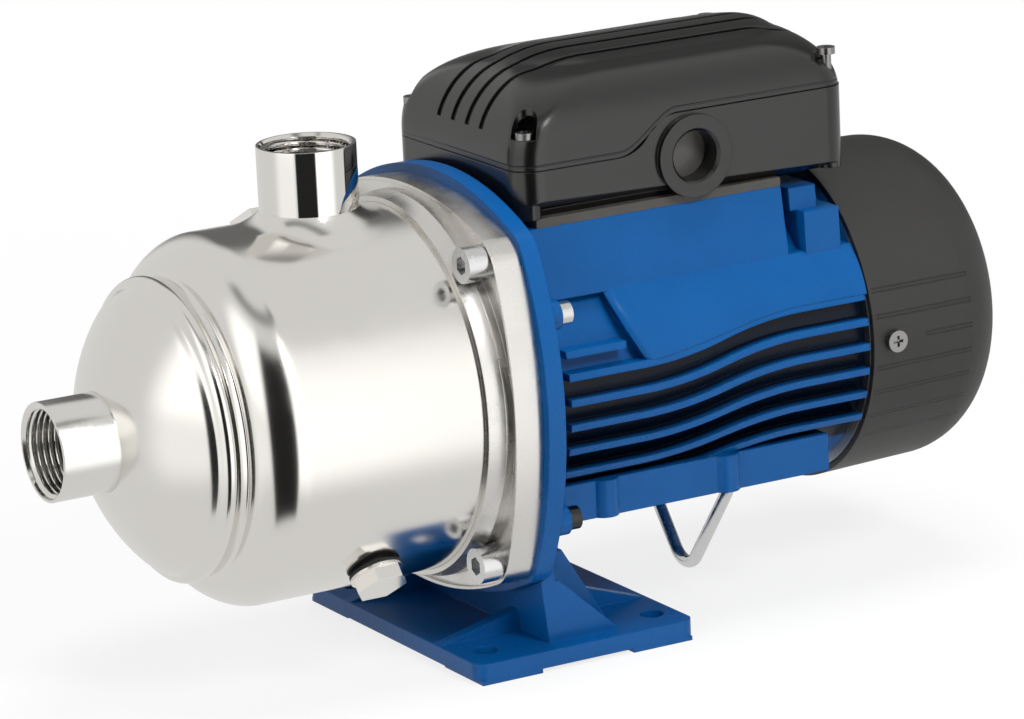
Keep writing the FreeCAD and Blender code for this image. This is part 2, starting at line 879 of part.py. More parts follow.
def sleeve(start, end, inner, outer):
    """A plain tube on the shaft axis, from two cylinders."""
    outside = cylinder_on_axis(start, end, outer)
    inside = cylinder_on_axis(start, end, inner)
    tube = doc.addObject("Part::Cut", "Sleeve")
    tube.Base = outside
    tube.Tool = inside
    return tube


def cylinder_on_axis(start, end, radius):
    cylinder = doc.addObject("Part::Cylinder", "Cylinder")
    bind(cylinder, "Radius", radius)
    bind(cylinder, "Height", end - start)
    cylinder.Placement = FreeCAD.Placement(FreeCAD.Vector(), ALONG_X)
    return place(cylinder, x=start, z=S.axis_height)


# Shaft, nut and bearings

def pump_shaft():
    """One shaft for pump and motor, stepped for the impellers, bearings, rotor and fan."""
    front_seat = -S.bearing_place
    rear_seat = rear_bearing_start() + S.rear_width
    return turned("pump_shaft", [
        (-S.shaft_nose, 0), (-S.shaft_nose, S.pump_shaft_radius - S.fit_gap),
        (front_seat - S.sheet, S.pump_shaft_radius - S.fit_gap),
        (front_seat - S.sheet, S.front_bore - S.fit_gap),
        (front_seat + S.front_width, S.front_bore - S.fit_gap),
        (front_seat + S.front_width, S.rotor_seat), (rear_bearing_start(), S.rotor_seat),
        (rear_bearing_start(), S.rear_bore - S.fit_gap), (rear_seat + S.sheet, S.rear_bore - S.fit_gap),
        (rear_seat + S.sheet, S.fan_seat), (S.shaft_tail, S.fan_seat), (S.shaft_tail, 0)])


def rear_bearing_start():
    return S.housing_rear - S.wave_washer - S.rear_width - S.shield_web / 2


def shaft_nut():
    """Hexagon nut that holds the impellers on the shaft."""
    body = new_body("shaft_nut")
    rear = stage_start(0) + S.sheet - S.fit_gap
    extrude(body, "Pad", "YZ_Plane", S.nut_height, [hexagon(S.nut_flats)], [(0, 0, S.pump_shaft_radius)],
            offset=rear - S.nut_height)
    return on_axis(body, "shaft_nut")


def bearing(name, start, width, bore, outside, ball):
    """Ball bearing as three sub-parts: outer ring, inner ring and balls."""
    middle = (bore + outside) / 2
    centre = start + width / 2
    groove = ball + S.fit_gap
    half = reach(groove, (outside - bore) / 2 - S.race_wall)
    outer_edge = outside - S.race_wall
    inner_edge = bore + S.race_wall
    turned(name + "_outer", [
        (start, outside), (start, outer_edge), (centre - half, outer_edge, -groove),
        (centre + half, outer_edge), (start + width, outer_edge), (start + width, outside)])
    turned(name + "_inner", [
        (start, bore), (start, inner_edge), (centre - half, inner_edge, groove),
        (centre + half, inner_edge), (start + width, inner_edge), (start + width, bore)])
    balls = []
    for index in range(BALLS):
        angle = FULL / BALLS * index
        sphere = doc.addObject("Part::Sphere", "Ball")
        bind(sphere, "Radius", ball)
        place(sphere, centre, middle * cosine(angle), S.axis_height + middle * sine(angle))
        balls.append(sphere)
    compound(name + "_balls", balls)


def wave_washer():
    """Spring washer that loads the rear bearing."""
    start = rear_bearing_start() + S.rear_width + S.fit_gap
    return turned("wave_washer", ring(start, start + S.wave_washer - 2 * S.fit_gap,
                                      S.rear_outside - 2 * S.race_wall, S.rear_outside - S.free_gap))


def slinger():
    """Rubber disc that throws off drops in front of the bearing."""
    start = -S.flange_rear + S.free_gap
    return turned("slinger", ring(start, start + S.slinger_width, S.pump_shaft_radius, S.slinger_radius))


# Motor

def motor_adapter():
    """Cast flange between pump and motor, with the front bearing's hub and the screw holes."""
    body = new_body("motor_adapter")
    front = -S.flange_rear
    rear = front + S.adapter_thickness
    outline = rounded_square(S.adapter_side, S.adapter_corner, S.corner_round)
    extrude(body, "Pad", "YZ_Plane", S.adapter_thickness, [outline], offset=front)
    hub_end = -S.bearing_place + S.front_width + S.sheet
    revolve(body, ring(front, hub_end, 0, S.front_outside + S.hub_wall))
    opening = S.slinger_radius + 3 * S.free_gap
    revolve(body, [
        (front, 0), (hub_end, 0), (hub_end, S.front_outside + S.fit_gap),
        (-S.bearing_place, S.front_outside + S.fit_gap), (-S.bearing_place, opening), (front, opening)], "Groove")
    hole = extrude(body, "Pocket", "YZ_Plane", 2 * S.adapter_thickness,
                   circles=[bolt_place(S.bolt_radius + S.fit_gap)], offset=front, back=True)
    repeat(body, [hole], 4)
    for up in (S.lug_upper, -S.lug_lower):
        extrude(body, "Pocket", "YZ_Plane", S.adapter_thickness - S.sheet,
                circles=[(side * S.lug_half, up, S.small_radius + S.fit_gap) for side in (1, -1)], offset=rear)
    extrude(body, "Pocket", "YZ_Plane", S.adapter_thickness - S.sheet,
            circles=foot_screw_places(S.small_radius + S.fit_gap), offset=rear)
    return on_axis(body, "motor_adapter")


def foot_screw_places(radius):
    """The two screws that hold the foot, as circles about the shaft axis."""
    return [(side * S.foot_screw_y, S.foot_screw_height - S.axis_height, radius) for side in (1, -1)]


def wavy_strip(base):
    """One fin's outline from the side: level, up in an S of two arcs, and level again."""
    start = S.fin_place * -1
    end = S.housing_rear - S.sheet
    lean = 2 * angle_of(S.fin_rise, S.wave_length)
    bend = S.wave_length / (2 * sine(lean))
    middle = S.wave_start + S.wave_length / 2
    level = base + S.fin_rise
    halfway = base + S.fin_rise / 2
    under = S.fin_thickness
    return [
        (start, base), (start, base - under),
        (S.wave_start, base - under, bend + under),
        (middle + under * sine(lean), halfway - under * cosine(lean), -bend + under),
        (S.wave_start + S.wave_length, level - under), (end, level - under),
        (end, level), (S.wave_start + S.wave_length, level, bend),
        (middle, halfway, -bend), (S.wave_start, base)]


def angle_of(rise, run):
    """The slope of a rise over a run, as an angle."""
    number = math.degrees(math.atan2(number_of(rise), number_of(run)))
    return Size(number, "(atan(%s / %s) / 1 deg)" % (text_of(rise), text_of(run)))


def motor_housing():
    """Cast barrel with wavy side fins, the seat for the terminal box, skirts and screw lugs."""
    body = new_body("motor_housing")
    front = -S.flange_rear + S.adapter_thickness
    length = S.housing_rear - front
    extrude(body, "Pad", "YZ_Plane", length, circles=[(0, 0, S.barrel_radius)], offset=front)
    strips = [wavy_strip(S.fin_top - index * S.fin_pitch) for index in range(FINS)]
    strips.append([(-S.fin_place, S.short_rib_top - S.fin_thickness), (S.short_rib_end, S.short_rib_top - S.fin_thickness),
                   (S.short_rib_end, S.short_rib_top), (-S.fin_place, S.short_rib_top)])
    extrude(body, "Pad", "XZ_Plane", 2 * S.fin_radius, strips, both=True)
    outside = S.fin_radius + S.barrel_radius
    extrude(body, "Pocket", "YZ_Plane", length, circles=[(0, 0, outside), (0, 0, S.fin_radius)],
            offset=front, back=True)
    add_box_seat(body, front)
    add_skirts(body)
    for up in (S.lug_upper, -S.lug_lower):
        extrude(body, "Pad", "YZ_Plane", S.lug_depth, [stadium(S.lug_half, up, S.lug_round)], offset=front)
    bore = S.stator_radius + S.fit_gap
    extrude(body, "Pocket", "YZ_Plane", length, circles=[(0, 0, bore)], offset=front, back=True)
    for up in (S.lug_upper, -S.lug_lower):
        extrude(body, "Pocket", "YZ_Plane", S.lug_depth, offset=front, back=True,
                circles=[(side * S.lug_half, up, S.small_radius + S.free_gap) for side in (1, -1)])
    extrude(body, "Pocket", "XY_Plane", S.wire_top - S.wire_boss_foot, back=True, offset=S.wire_boss_foot - S.axis_height,
            circles=[(S.wire_place, side * S.wire_half, S.wire_radius + S.fit_gap) for side in (1, -1)])
    extrude(body, "Pocket", "XY_Plane", S.fixing_reach + S.free_gap, offset=S.pad_height,
            circles=[(x, y, S.cover_screw_radius + S.fit_gap) for x, y in box_fixing_places()])
    screw_hole = extrude(body, "Pocket", "YZ_Plane", 2 * S.spigot, circles=[shield_screw_place(S.fit_gap)],
                         offset=S.housing_rear)
    repeat(body, [screw_hole], 4)
    return on_axis(body, "motor_housing")


def add_box_seat(body, front):
    """The block under the terminal box, and two pairs of small lugs behind it."""
    foot = S.panel_foot
    inside = S.barrel_radius - S.stator_radius
    outline = [(-S.panel_half, foot), (-S.stator_radius + inside, foot), (-S.stator_radius / 2, foot + inside),
               (S.stator_radius / 2, foot + inside), (S.stator_radius - inside, foot), (S.panel_half, foot),
               (S.pad_half, S.pad_height), (-S.pad_half, S.pad_height)]
    extrude(body, "Pad", "YZ_Plane", S.pad_rear - front, [outline], offset=front)
    for side in (1, -1):
        inner = side * S.stator_radius / 2
        outline = [(inner, S.lug_b_top), (side * S.lug_a_half, S.lug_b_top), (side * (S.lug_a_half - 1), S.lug_a_top),
                   (inner, S.lug_a_top)]
        extrude(body, "Pad", "YZ_Plane", S.lug_a_rear - S.lug_a_front, [outline], offset=S.lug_a_front)
        outline = [(inner, S.lug_b_foot), (side * (S.lug_b_half + 1), S.lug_b_foot), (side * S.lug_b_half, S.lug_b_top),
                   (inner, S.lug_b_top)]
        extrude(body, "Pad", "YZ_Plane", S.lug_b_rear - S.lug_b_front, [outline], offset=S.lug_b_front)


def add_skirts(body):
    """Side skirts under the fins, hung from a shelf, with two upright bosses on each."""
    start = -S.fin_place
    inner = S.skirt_half - S.skirt_wall
    shelf = S.skirt_top + S.skirt_wall
    meet = reach(S.barrel_radius, S.skirt_top) - S.skirt_wall
    for side in (1, -1):
        outline = [(side * meet, -S.skirt_top), (side * S.skirt_half, -S.skirt_top),
                   (side * S.skirt_half, -S.skirt_foot), (side * inner, -S.skirt_foot),
                   (side * inner, -shelf), (side * meet, -shelf)]
        extrude(body, "Pad", "YZ_Plane", S.skirt_rear - start, [outline], offset=start)
    for across in (S.boss_first, S.boss_second):
        circles = [(across, side * (S.skirt_half - S.boss_round / 2), S.boss_round) for side in (1, -1)]
        extrude(body, "Pad", "XY_Plane", S.skirt_foot - S.skirt_top, circles=circles, offset=-S.skirt_foot)
    wire_foot = S.wire_boss_foot - S.axis_height
    circles = [(S.wire_place, side * S.wire_half, S.wire_boss) for side in (1, -1)]
    height = -reach(S.stator_radius, S.wire_half) - wire_foot
    extrude(body, "Pad", "XY_Plane", height, circles=circles, offset=wire_foot)


def shield_screw_place(extra):
    """The circle of one rear shield screw, in the middle of the barrel's wall."""
    middle = (S.barrel_radius + S.stator_radius) / 2
    offset = middle * cosine(QUARTER / 2)
    return (offset, offset, S.cover_screw_radius + extra)


def stator_core():
    """Laminated stack pressed into the barrel."""
    end = S.stator_place + S.stator_length
    return turned("stator_core", ring(S.stator_place, end, S.rotor_radius + S.air_gap, S.stator_radius))


def stator_windings():
    """Winding heads on both sides of the stack."""
    inner = S.rotor_radius + 2
    outer = S.stator_radius - 5
    edge = S.winding_reach / 3
    items = []
    for face, way in ((S.stator_place, -1), (S.stator_place + S.stator_length, 1)):
        body = new_body("winding")
        end = face + way * S.winding_reach
        revolve(body, [
            (face, inner), (face, outer), (end - way * edge, outer), (end, outer - edge),
            (end, inner + edge), (end - way * edge, inner)])
        place(body, z=S.axis_height)
        items.append(body)
    return compound("stator_windings", items)


def rotor_core():
    """Cage rotor on the shaft, with a short-circuit ring at each end."""
    ends = S.winding_reach / 2
    start = S.stator_place
    end = start + S.stator_length
    bore = S.rotor_seat
    step = S.rotor_radius - S.bolt_head
    return turned("rotor_core", [
        (start - ends, bore), (end + ends, bore), (end + ends, step), (end, step), (end, S.rotor_radius),
        (start, S.rotor_radius), (start, step), (start - ends, step)])


def rear_end_shield():
    """Rear shield: spigot in the barrel, bearing hub, rim for the cover and two lugs for its screws."""
    body = new_body("rear_end_shield")
    rear = S.housing_rear
    hub = S.rear_outside + S.hub_wall
    seat = S.rear_outside + S.fit_gap
    start = rear_bearing_start()
    floor = start + S.rear_width + S.wave_washer
    revolve(body, [
        (start, seat), (floor, seat), (floor, S.rear_bore + S.sheet + 1),
        (rear + S.shield_web, S.rear_bore + S.sheet + 1), (rear + S.shield_web, S.shield_radius - S.sheet * 2),
        (rear + S.shield_rim, S.shield_radius - S.sheet * 2), (rear + S.shield_rim, S.shield_radius),
        (rear, S.shield_radius), (rear, S.stator_radius), (rear - S.spigot, S.stator_radius),
        (rear - S.spigot, S.stator_radius - S.sheet * 2), (rear, S.stator_radius - S.sheet * 2), (rear, hub), (start, hub)])
    lug_end = S.cover_screw_place + S.lug_round
    for side in (1, -1):
        lug = body.newObject("PartDesign::AdditiveBox", "Lug")
        bind(lug, "Length", lug_end - rear)
        bind(lug, "Width", S.lug_round)
        bind(lug, "Height", 2 * S.lug_round)
        top = reach(S.cover_radius - S.cover_wall, S.lug_round) - S.free_gap
        place(lug, x=rear, y=top - S.lug_round if side > 0 else -top, z=-S.lug_round)
    extrude(body, "Pocket", "XZ_Plane", 3 * S.cover_radius, both=True,
            circles=[(S.cover_screw_place, 0, S.cover_screw_radius + S.fit_gap)])
    screw_hole = extrude(body, "Pocket", "YZ_Plane", 2 * S.shield_rim, circles=[shield_screw_place(S.free_gap)],
                         offset=rear + S.shield_rim)
    repeat(body, [screw_hole], 4)
    return on_axis(body, "rear_end_shield")


def fan():
    """Radial fan: hub, backing disc and straight blades."""
    body = new_body("fan")
    start = S.fan_place
    disc = start + S.fan_wall
    end = start + S.fan_depth
    hub = 2 * S.fan_seat
    revolve(body, [
        (start, S.fan_seat), (end - S.fan_wall, S.fan_seat), (end - S.fan_wall, hub), (disc, hub),
        (disc, S.fan_radius), (start, S.fan_radius)])
    half = S.fan_wall / 2
    blade = extrude(body, "Pad", "YZ_Plane", S.fan_depth - 1.5 * S.fan_wall,
                    [[(hub - half, -half), (S.fan_radius, -half), (S.fan_radius, half), (hub - half, half)]],
                    offset=start + half)
    repeat(body, [blade], FAN_BLADES)
    return on_axis(body, "fan")


def cover_round_place():
    """Where the fan cover's side turns into its rear round."""
    return S.cover_reach - S.cover_round_depth


def fan_cover():
    """Moulded cup with a large rear round, a ring of grille slots and two screw holes."""
    body = new_body("fan_cover")
    front = S.housing_rear + S.free_gap
    wall = S.cover_wall
    rear = S.cover_reach
    flat = S.cover_tail_radius - S.cover_round
    inner_rear = rear - wall
    turn_in = cover_round_place()
    revolve(body, [
        (front, S.cover_radius - wall), (turn_in, S.cover_tail_radius - wall, -S.cover_round + wall / 2),
        (inner_rear, flat), (inner_rear, 0), (rear, 0), (rear, flat, S.cover_round),
        (turn_in, S.cover_tail_radius), (front, S.cover_radius)])
    half = S.grille_slot / 2
    slot = extrude(body, "Pocket", "YZ_Plane", 3 * wall,
                   [[(S.slot_inner, -half), (S.slot_outer, -half), (S.slot_outer, half), (S.slot_inner, half)]],
                   offset=rear + wall)
    repeat(body, [slot], GRILLE_SLOTS)
    hole = extrude(body, "Pocket", "XZ_Plane", 3 * S.cover_radius, both=True,
                   circles=[(S.cover_screw_place, 0, S.cover_screw_radius + S.free_gap)])
    body.Tip = hole
    return on_axis(body, "fan_cover")


# Fasteners

def cylinder(radius, start, end):
    """An upright cylinder between two heights."""
    item = doc.addObject("Part::Cylinder", "Cylinder")
    bind(item, "Radius", radius)
    bind(item, "Height", end - start)
    return place(item, z=start)


def socket_screw(head, head_height, radius, length, socket):
    """Cap screw standing on its shank: the seat under the head is at height zero."""
    joined_item = doc.addObject("Part::Fuse", "Screw")
    joined_item.Base = cylinder(head, 0, head_height)
    joined_item.Tool = cylinder(radius, -length, 0)
    recess = doc.addObject("Part::Prism", "Socket")
    recess.Polygon = 6
    bind(recess, "Circumradius", socket / root(Size(3.0, "(3.0)")))
    bind(recess, "Height", head_height)
    place(recess, z=head_height / 2)
    screw = doc.addObject("Part::Cut", "Screw")
    screw.Base = joined_item
    screw.Tool = recess
    return screw


def round_screw(head, head_height, radius, length):
    """Domed screw with a cross recess: the seat under the head is at height zero."""
    joined_item = doc.addObject("Part::Fuse", "Screw")
    joined_item.Base = cylinder(head, 0, head_height)
    joined_item.Tool = cylinder(radius, -length, 0)
    arms = doc.addObject("Part::Fuse", "Cross")
    bars = []
    for across, along in ((head, head / 4), (head / 4, head)):
        bar = doc.addObject("Part::Box", "Bar")
        bind(bar, "Length", across)
        bind(bar, "Width", along)
        bind(bar, "Height", head_height)
        place(bar, -across / 2, -along / 2, head_height / 2)
        bars.append(bar)
    arms.Base = bars[0]
    arms.Tool = bars[1]
    screw = doc.addObject("Part::Cut", "Screw")
    screw.Base = joined_item
    screw.Tool = arms
    return screw


def diagonal_places():
    """The four diagonal directions across the shaft, as signs."""
    return [(across, up) for across in (1, -1) for up in (1, -1)]


def flange_screws():
    """Four cap screws that clamp the casing flange to the adapter."""
    length = S.lock_washer + recessed_face() - S.flange_rear + S.adapter_thickness
    screw = socket_screw(S.bolt_head, S.bolt_head_height, S.bolt_radius, length, S.bolt_socket)
    offset = S.bolt_circle * cosine(QUARTER / 2)
    seat = -recessed_face() - S.lock_washer
    return compound("flange_screws", [copy_of(screw, Y_WAY, -QUARTER, seat, across * offset, S.axis_height + up * offset)
                                      for across, up in diagonal_places()])


def lock_washers():
    """Split washers under the cap screws."""
    ring_item = doc.addObject("Part::Cut", "Washer")
    ring_item.Base = cylinder(S.bolt_head - S.free_gap / 2, 0, S.lock_washer)
    ring_item.Tool = cylinder(S.bolt_radius + S.fit_gap, 0, S.lock_washer)
    offset = S.bolt_circle * cosine(QUARTER / 2)
    seat = -recessed_face()
    return compound("lock_washers", [copy_of(ring_item, Y_WAY, -QUARTER, seat, across * offset, S.axis_height + up * offset)
                                     for across, up in diagonal_places()])


def housing_screws():
    """Four small cap screws, heads to the rear, that hold the housing to the adapter."""
    length = S.lug_depth + S.adapter_thickness - 2 * S.sheet
    screw = socket_screw(S.small_head, S.small_head_height, S.small_radius, length, S.small_head)
    seat = -S.flange_rear + S.adapter_thickness + S.lug_depth
    return compound("housing_screws", [
        copy_of(screw, Y_WAY, QUARTER, seat, side * S.lug_half, S.axis_height + up)
        for side in (1, -1) for up in (S.lug_upper, -S.lug_lower)])


def shield_screws():
    """Four screws that hold the rear shield to the barrel."""
    length = S.shield_web + 1.5 * S.spigot
    screw = socket_screw(S.small_head - 1, S.small_radius, S.cover_screw_radius, length, S.small_radius)
    offset = shield_screw_place(0)[0]
    seat = S.housing_rear + S.shield_web
    return compound("shield_screws", [copy_of(screw, Y_WAY, QUARTER, seat, across * offset, S.axis_height + up * offset)
                                      for across, up in diagonal_places()])


def fan_cover_screws():
    """A round-headed screw on each side of the fan cover."""
    share = (S.cover_screw_place - S.cover_screw_head - S.housing_rear) / (cover_round_place() - S.housing_rear)
    surface = S.cover_radius + (S.cover_tail_radius - S.cover_radius) * share
    screw = round_screw(S.cover_screw_head, S.small_radius, S.cover_screw_radius, S.lug_round + S.cover_wall)
    return compound("fan_cover_screws", [
        copy_of(screw, X_WAY, QUARTER, S.cover_screw_place, -surface, S.axis_height),
        copy_of(screw, X_WAY, -QUARTER, S.cover_screw_place, surface, S.axis_height)])


# Foot and wire stand

def foot():
    """Cast foot: plate on four corner pads, pedestal up to the adapter, ribs and gussets."""
    body = new_body("foot")
    top = S.foot_pad + S.foot_thickness
    extrude(body, "Pad", "XY_Plane", S.foot_thickness, [foot_outline()], offset=S.foot_pad)
    for low, high in ((-S.foot_front, -S.foot_front + S.foot_pad_length), (S.foot_rear - S.foot_pad_length, S.foot_rear)):
        for side in (1, -1):
            edge = side * S.foot_half
            inner = side * (S.foot_half - S.foot_pad_length)
            corner = S.foot_corner / 3
            outline = [(low + corner, edge), (low + corner, inner), (high - corner, inner), (high - corner, edge)]
            extrude(body, "Pad", "XY_Plane", S.foot_pad, [outline])
    add_pedestal(body, top)
    add_ribs(body, top)
    extrude(body, "Pocket", "XY_Plane", 2 * top, back=True,
            circles=[(across * S.foot_hole_x, side * S.foot_hole_y, S.foot_hole)
                     for across in (1, -1) for side in (1, -1)])
    return keep(body, "foot")


def foot_outline():
    """The plate seen from above, with rounded corners."""
    round_off = S.foot_corner
    front = -S.foot_front
    rear = S.foot_rear
    half = S.foot_half
    return [(front + round_off, -half), (rear - round_off, -half, round_off), (rear, -half + round_off),
            (rear, half - round_off, round_off), (rear - round_off, half), (front + round_off, half, round_off),
            (front, half - round_off), (front, -half + round_off, round_off)]


def pedestal_rear():
    """The rear face of the pedestal at its head."""
    return -S.pedestal_place + S.pedestal_wall


def add_pedestal(body, top):
    """Leaning wall behind and under the adapter, cut away where the adapter sits, with its screw holes."""
    front = -S.pedestal_place
    rear = pedestal_rear()
    low = top - S.sheet
    profile = [(front + S.pedestal_lean, low), (rear + S.pedestal_lean, low), (rear, S.pedestal_top),
               (front, S.pedestal_top)]
    extrude(body, "Pad", "XZ_Plane", 2 * S.pedestal_half, [profile], both=True)
    step = S.fit_gap
    seat = rounded_square(S.adapter_side + step, S.adapter_corner + step, S.corner_round + step)
    raised = [(corner[0], corner[1] + S.axis_height, corner[2]) for corner in seat]
    face = -S.flange_rear + S.adapter_thickness + step
    extrude(body, "Pocket", "YZ_Plane", S.adapter_thickness, [raised], offset=face)
    holes = [(across, up + S.axis_height, radius) for across, up, radius in foot_screw_places(S.small_radius + S.free_gap)]
    extrude(body, "Pocket", "YZ_Plane", 3 * S.pedestal_wall, circles=holes, offset=rear + S.pedestal_wall)


def add_ribs(body, top):
    """Low ribs in front, stepped ribs and tall webs behind, and a gusset at each end of the pedestal."""
    front = -S.pedestal_place + S.pedestal_lean
    rear = pedestal_rear() - S.sheet
    low = top - S.sheet
    knee = (S.web_reach + S.web_head) / 2 + S.sheet
    for side in (1, -1):
        add_rib(body, side * S.front_rib_y, [
            (-S.foot_front, low), (front + S.sheet, low), (front + S.sheet, top + S.front_rib_rise), (-S.foot_front, top)])
        add_rib(body, side * S.rear_rib_y, [
            (rear, low), (S.foot_rear - S.sheet, low), (S.foot_rear - S.sheet, top),
            (S.rear_rib_knee, top + S.rear_rib_rise), (rear, S.rear_rib_height)])
        add_rib(body, side * S.web_y, [
            (rear, low), (S.web_reach, low), (S.web_reach, top), (knee, S.web_shoulder), (S.web_head, S.web_height),
            (rear, S.web_height)])
        add_rib(body, side * (S.pedestal_half - S.rib_wall / 2), [
            (rear, low), (S.gusset_reach, low), (S.gusset_reach, top), (-S.sheet * 5, S.gusset_height),
            (rear, S.gusset_height)])


def add_rib(body, across, profile):
    """One rib of the foot, centred on this distance from the middle."""
    extrude(body, "Pad", "XZ_Plane", S.rib_wall, [profile], offset=-across - S.rib_wall / 2)


def foot_screws():
    """Two cap screws, heads to the rear, that hold the pedestal to the adapter."""
    length = S.adapter_thickness + S.pedestal_wall - 2 * S.sheet
    screw = socket_screw(S.small_head, S.small_head_height, S.small_radius, length, S.small_head)
    seat = pedestal_rear() + S.pedestal_lean / 3
    return compound("foot_screws", [copy_of(screw, Y_WAY, QUARTER, seat, across, S.axis_height + up)
                                    for across, up, radius in foot_screw_places(0)])


def wire_stand():
    """Bent wire under the motor: a round toe, two sloping legs and upright ends in the housing's bosses."""
    radius = number_of(S.wire_radius)
    slope = math.radians(number_of(S.wire_slope))
    bend = number_of(S.wire_bend)
    knee = number_of(S.wire_knee)
    half = number_of(S.wire_half)
    base = number_of(S.wire_lift) + radius
    middle = math.radians(90) - slope
    foot = (bend * math.sin(slope), base + bend * (1 - math.cos(slope)))
    turn_in = knee * (1 - math.sin(slope))
    leg_top = (half - turn_in, foot[1] + (half - turn_in - foot[0]) * math.tan(slope))
    knee_middle = (half - knee * (1 - math.cos(middle / 2)), leg_top[1] + knee * (math.cos(slope) - math.sin(middle / 2)))
    knee_top = (half, leg_top[1] + knee * math.cos(slope))
    end = (half, number_of(S.wire_top) - number_of(S.sheet))
    corners = [end, knee_top, knee_middle, leg_top, foot, (0, base)]
    near = [FreeCAD.Vector(number_of(S.wire_place), -y, z) for y, z in corners]
    far = [FreeCAD.Vector(point.x, -point.y, point.z) for point in near]
    edges = [Part.LineSegment(near[0], near[1]), Part.Arc(near[1], near[2], near[3]), Part.LineSegment(near[3], near[4]),
             Part.Arc(near[4], near[5], far[4]), Part.LineSegment(far[4], far[3]), Part.Arc(far[3], far[2], far[1]),
             Part.LineSegment(far[1], far[0])]
    path = Part.Wire([edge.toShape() for edge in edges])
    section = Part.Wire([Part.Circle(near[0], FreeCAD.Vector(0, 0, 1), radius).toShape()])
    item = doc.addObject("Part::Feature", "wire_stand_wire")
    item.Shape = path.makePipeShell([section], True, False, 1)
    return keep(item, "wire_stand")


# Terminal box

def box_outline_side(grow):
    """The box from the side, with a long round at the pump end. Grow is negative for a smaller shape."""
    front = -S.box_front - grow
    rear = S.box_rear + grow
    top = S.box_top + grow
    nose = S.nose_round + grow
    tail = S.tail_round + grow
    bottom = S.box_seat
    return [(front, bottom), (rear, bottom), (rear, top - tail, tail), (rear - tail, top), (front + nose, top, nose),
            (front, top - nose)]


def box_outline_end(grow):
    """The box from its end: upright sides, round shoulders and a slightly crowned top."""
    half = S.box_half + grow
    top = S.box_top + grow
    side = S.side_round + grow
    shoulder = top - S.crown_drop
    flat = half - side
    crown = (flat * flat + S.crown_drop * S.crown_drop) / (2 * S.crown_drop)
    return [(-half, S.box_seat), (half, S.box_seat), (half, shoulder - side, side), (flat, shoulder, crown),
            (-flat, shoulder, side), (-half, shoulder - side)]


def box_outline_top(grow):
    """The box from above, with rounded corners."""
    front = -S.box_front - grow
    rear = S.box_rear + grow
    half = S.box_half + grow
    corner = S.box_corner + grow
    return [(front + corner, -half), (rear - corner, -half, corner), (rear, -half + corner), (rear, half - corner, corner),
            (rear - corner, half), (front + corner, half, corner), (front, half - corner), (front, -half + corner, corner)]


def prism(outline, normal, start, length):
    """A plain extrusion of one outline: normal is the row axis that it is drawn across."""
    sketch = doc.addObject("Sketcher::SketchObject", "Outline")
    draw(sketch, outline)
    turns = {"z": FreeCAD.Rotation(), "x": FreeCAD.Rotation(FreeCAD.Vector(1, 1, 1), 120),
             "y": FreeCAD.Rotation(FreeCAD.Vector(1, 0, 0), QUARTER)}
    sketch.Placement = FreeCAD.Placement(FreeCAD.Vector(), turns[normal])
    if normal == "y":
        bind(sketch, "Placement.Base.y", start + length)
    else:
        bind(sketch, "Placement.Base." + normal, start)
    solid = doc.addObject("Part::Extrusion", "Prism")
    solid.Base = sketch
    solid.DirMode = "Normal"
    bind(solid, "LengthFwd", length)
    solid.Solid = True
    return solid


def common(items):
    shape = doc.addObject("Part::MultiCommon", "Common")
    shape.Shapes = items
    return shape


def fuse(items):
    shape = doc.addObject("Part::MultiFuse", "Fuse")
    shape.Shapes = items
    return shape


def cut(base, tool):
    shape = doc.addObject("Part::Cut", "Cut")
    shape.Base = base
    shape.Tool = tool
    return shape


def box_form(grow):
    """The whole box as one solid form: what its side, end and top outlines have in common."""
    long = S.box_rear + S.box_front + 2 * grow
    tall = S.box_top - S.box_seat + grow
    return common([
        prism(box_outline_side(grow), "y", -S.box_half - grow, 2 * (S.box_half + grow)),
        prism(box_outline_end(grow), "x", -S.box_front - grow, long),
        prism(box_outline_top(grow), "z", S.box_seat, tall)])


def parting_prism(upper, shift):
    """The space above or below the parting line, which climbs in an S along the side."""
    lean = 2 * angle_of(S.parting_high - S.parting_low, S.parting_end - S.parting_start)
    bend = (S.parting_end - S.parting_start) / (2 * sine(lean))
    far = 2 * S.box_rear
    near = -2 * S.box_front
    limit = 2 * S.box_top if upper else S.box_seat - S.box_wall
    middle = (S.parting_start + S.parting_end) / 2
    halfway = (S.parting_low + S.parting_high) / 2 + shift
    line = [(near, S.parting_low + shift), (S.parting_start, S.parting_low + shift, bend),
            (middle, halfway, -bend), (S.parting_end, S.parting_high + shift), (far, S.parting_high + shift)]
    closing = [(far, limit), (near, limit)]
    return prism(line + closing, "y", -2 * S.box_half, 4 * S.box_half)


def lid_screw_places():
    """The four lid screws: side, place along the box and height of the seat under the head."""
    front = -S.box_front + S.lid_screw_inset
    rear = S.box_rear - S.lid_screw_inset
    return [(x, side * (S.box_half - S.lid_screw_inset), height + S.lid_seat)
            for x, height in ((front, S.parting_low), (rear, S.parting_high)) for side in (1, -1)]


def upright_cylinder(x, y, low, high, radius):
    item = cylinder(radius, low, high)
    return place(item, x, y, low)


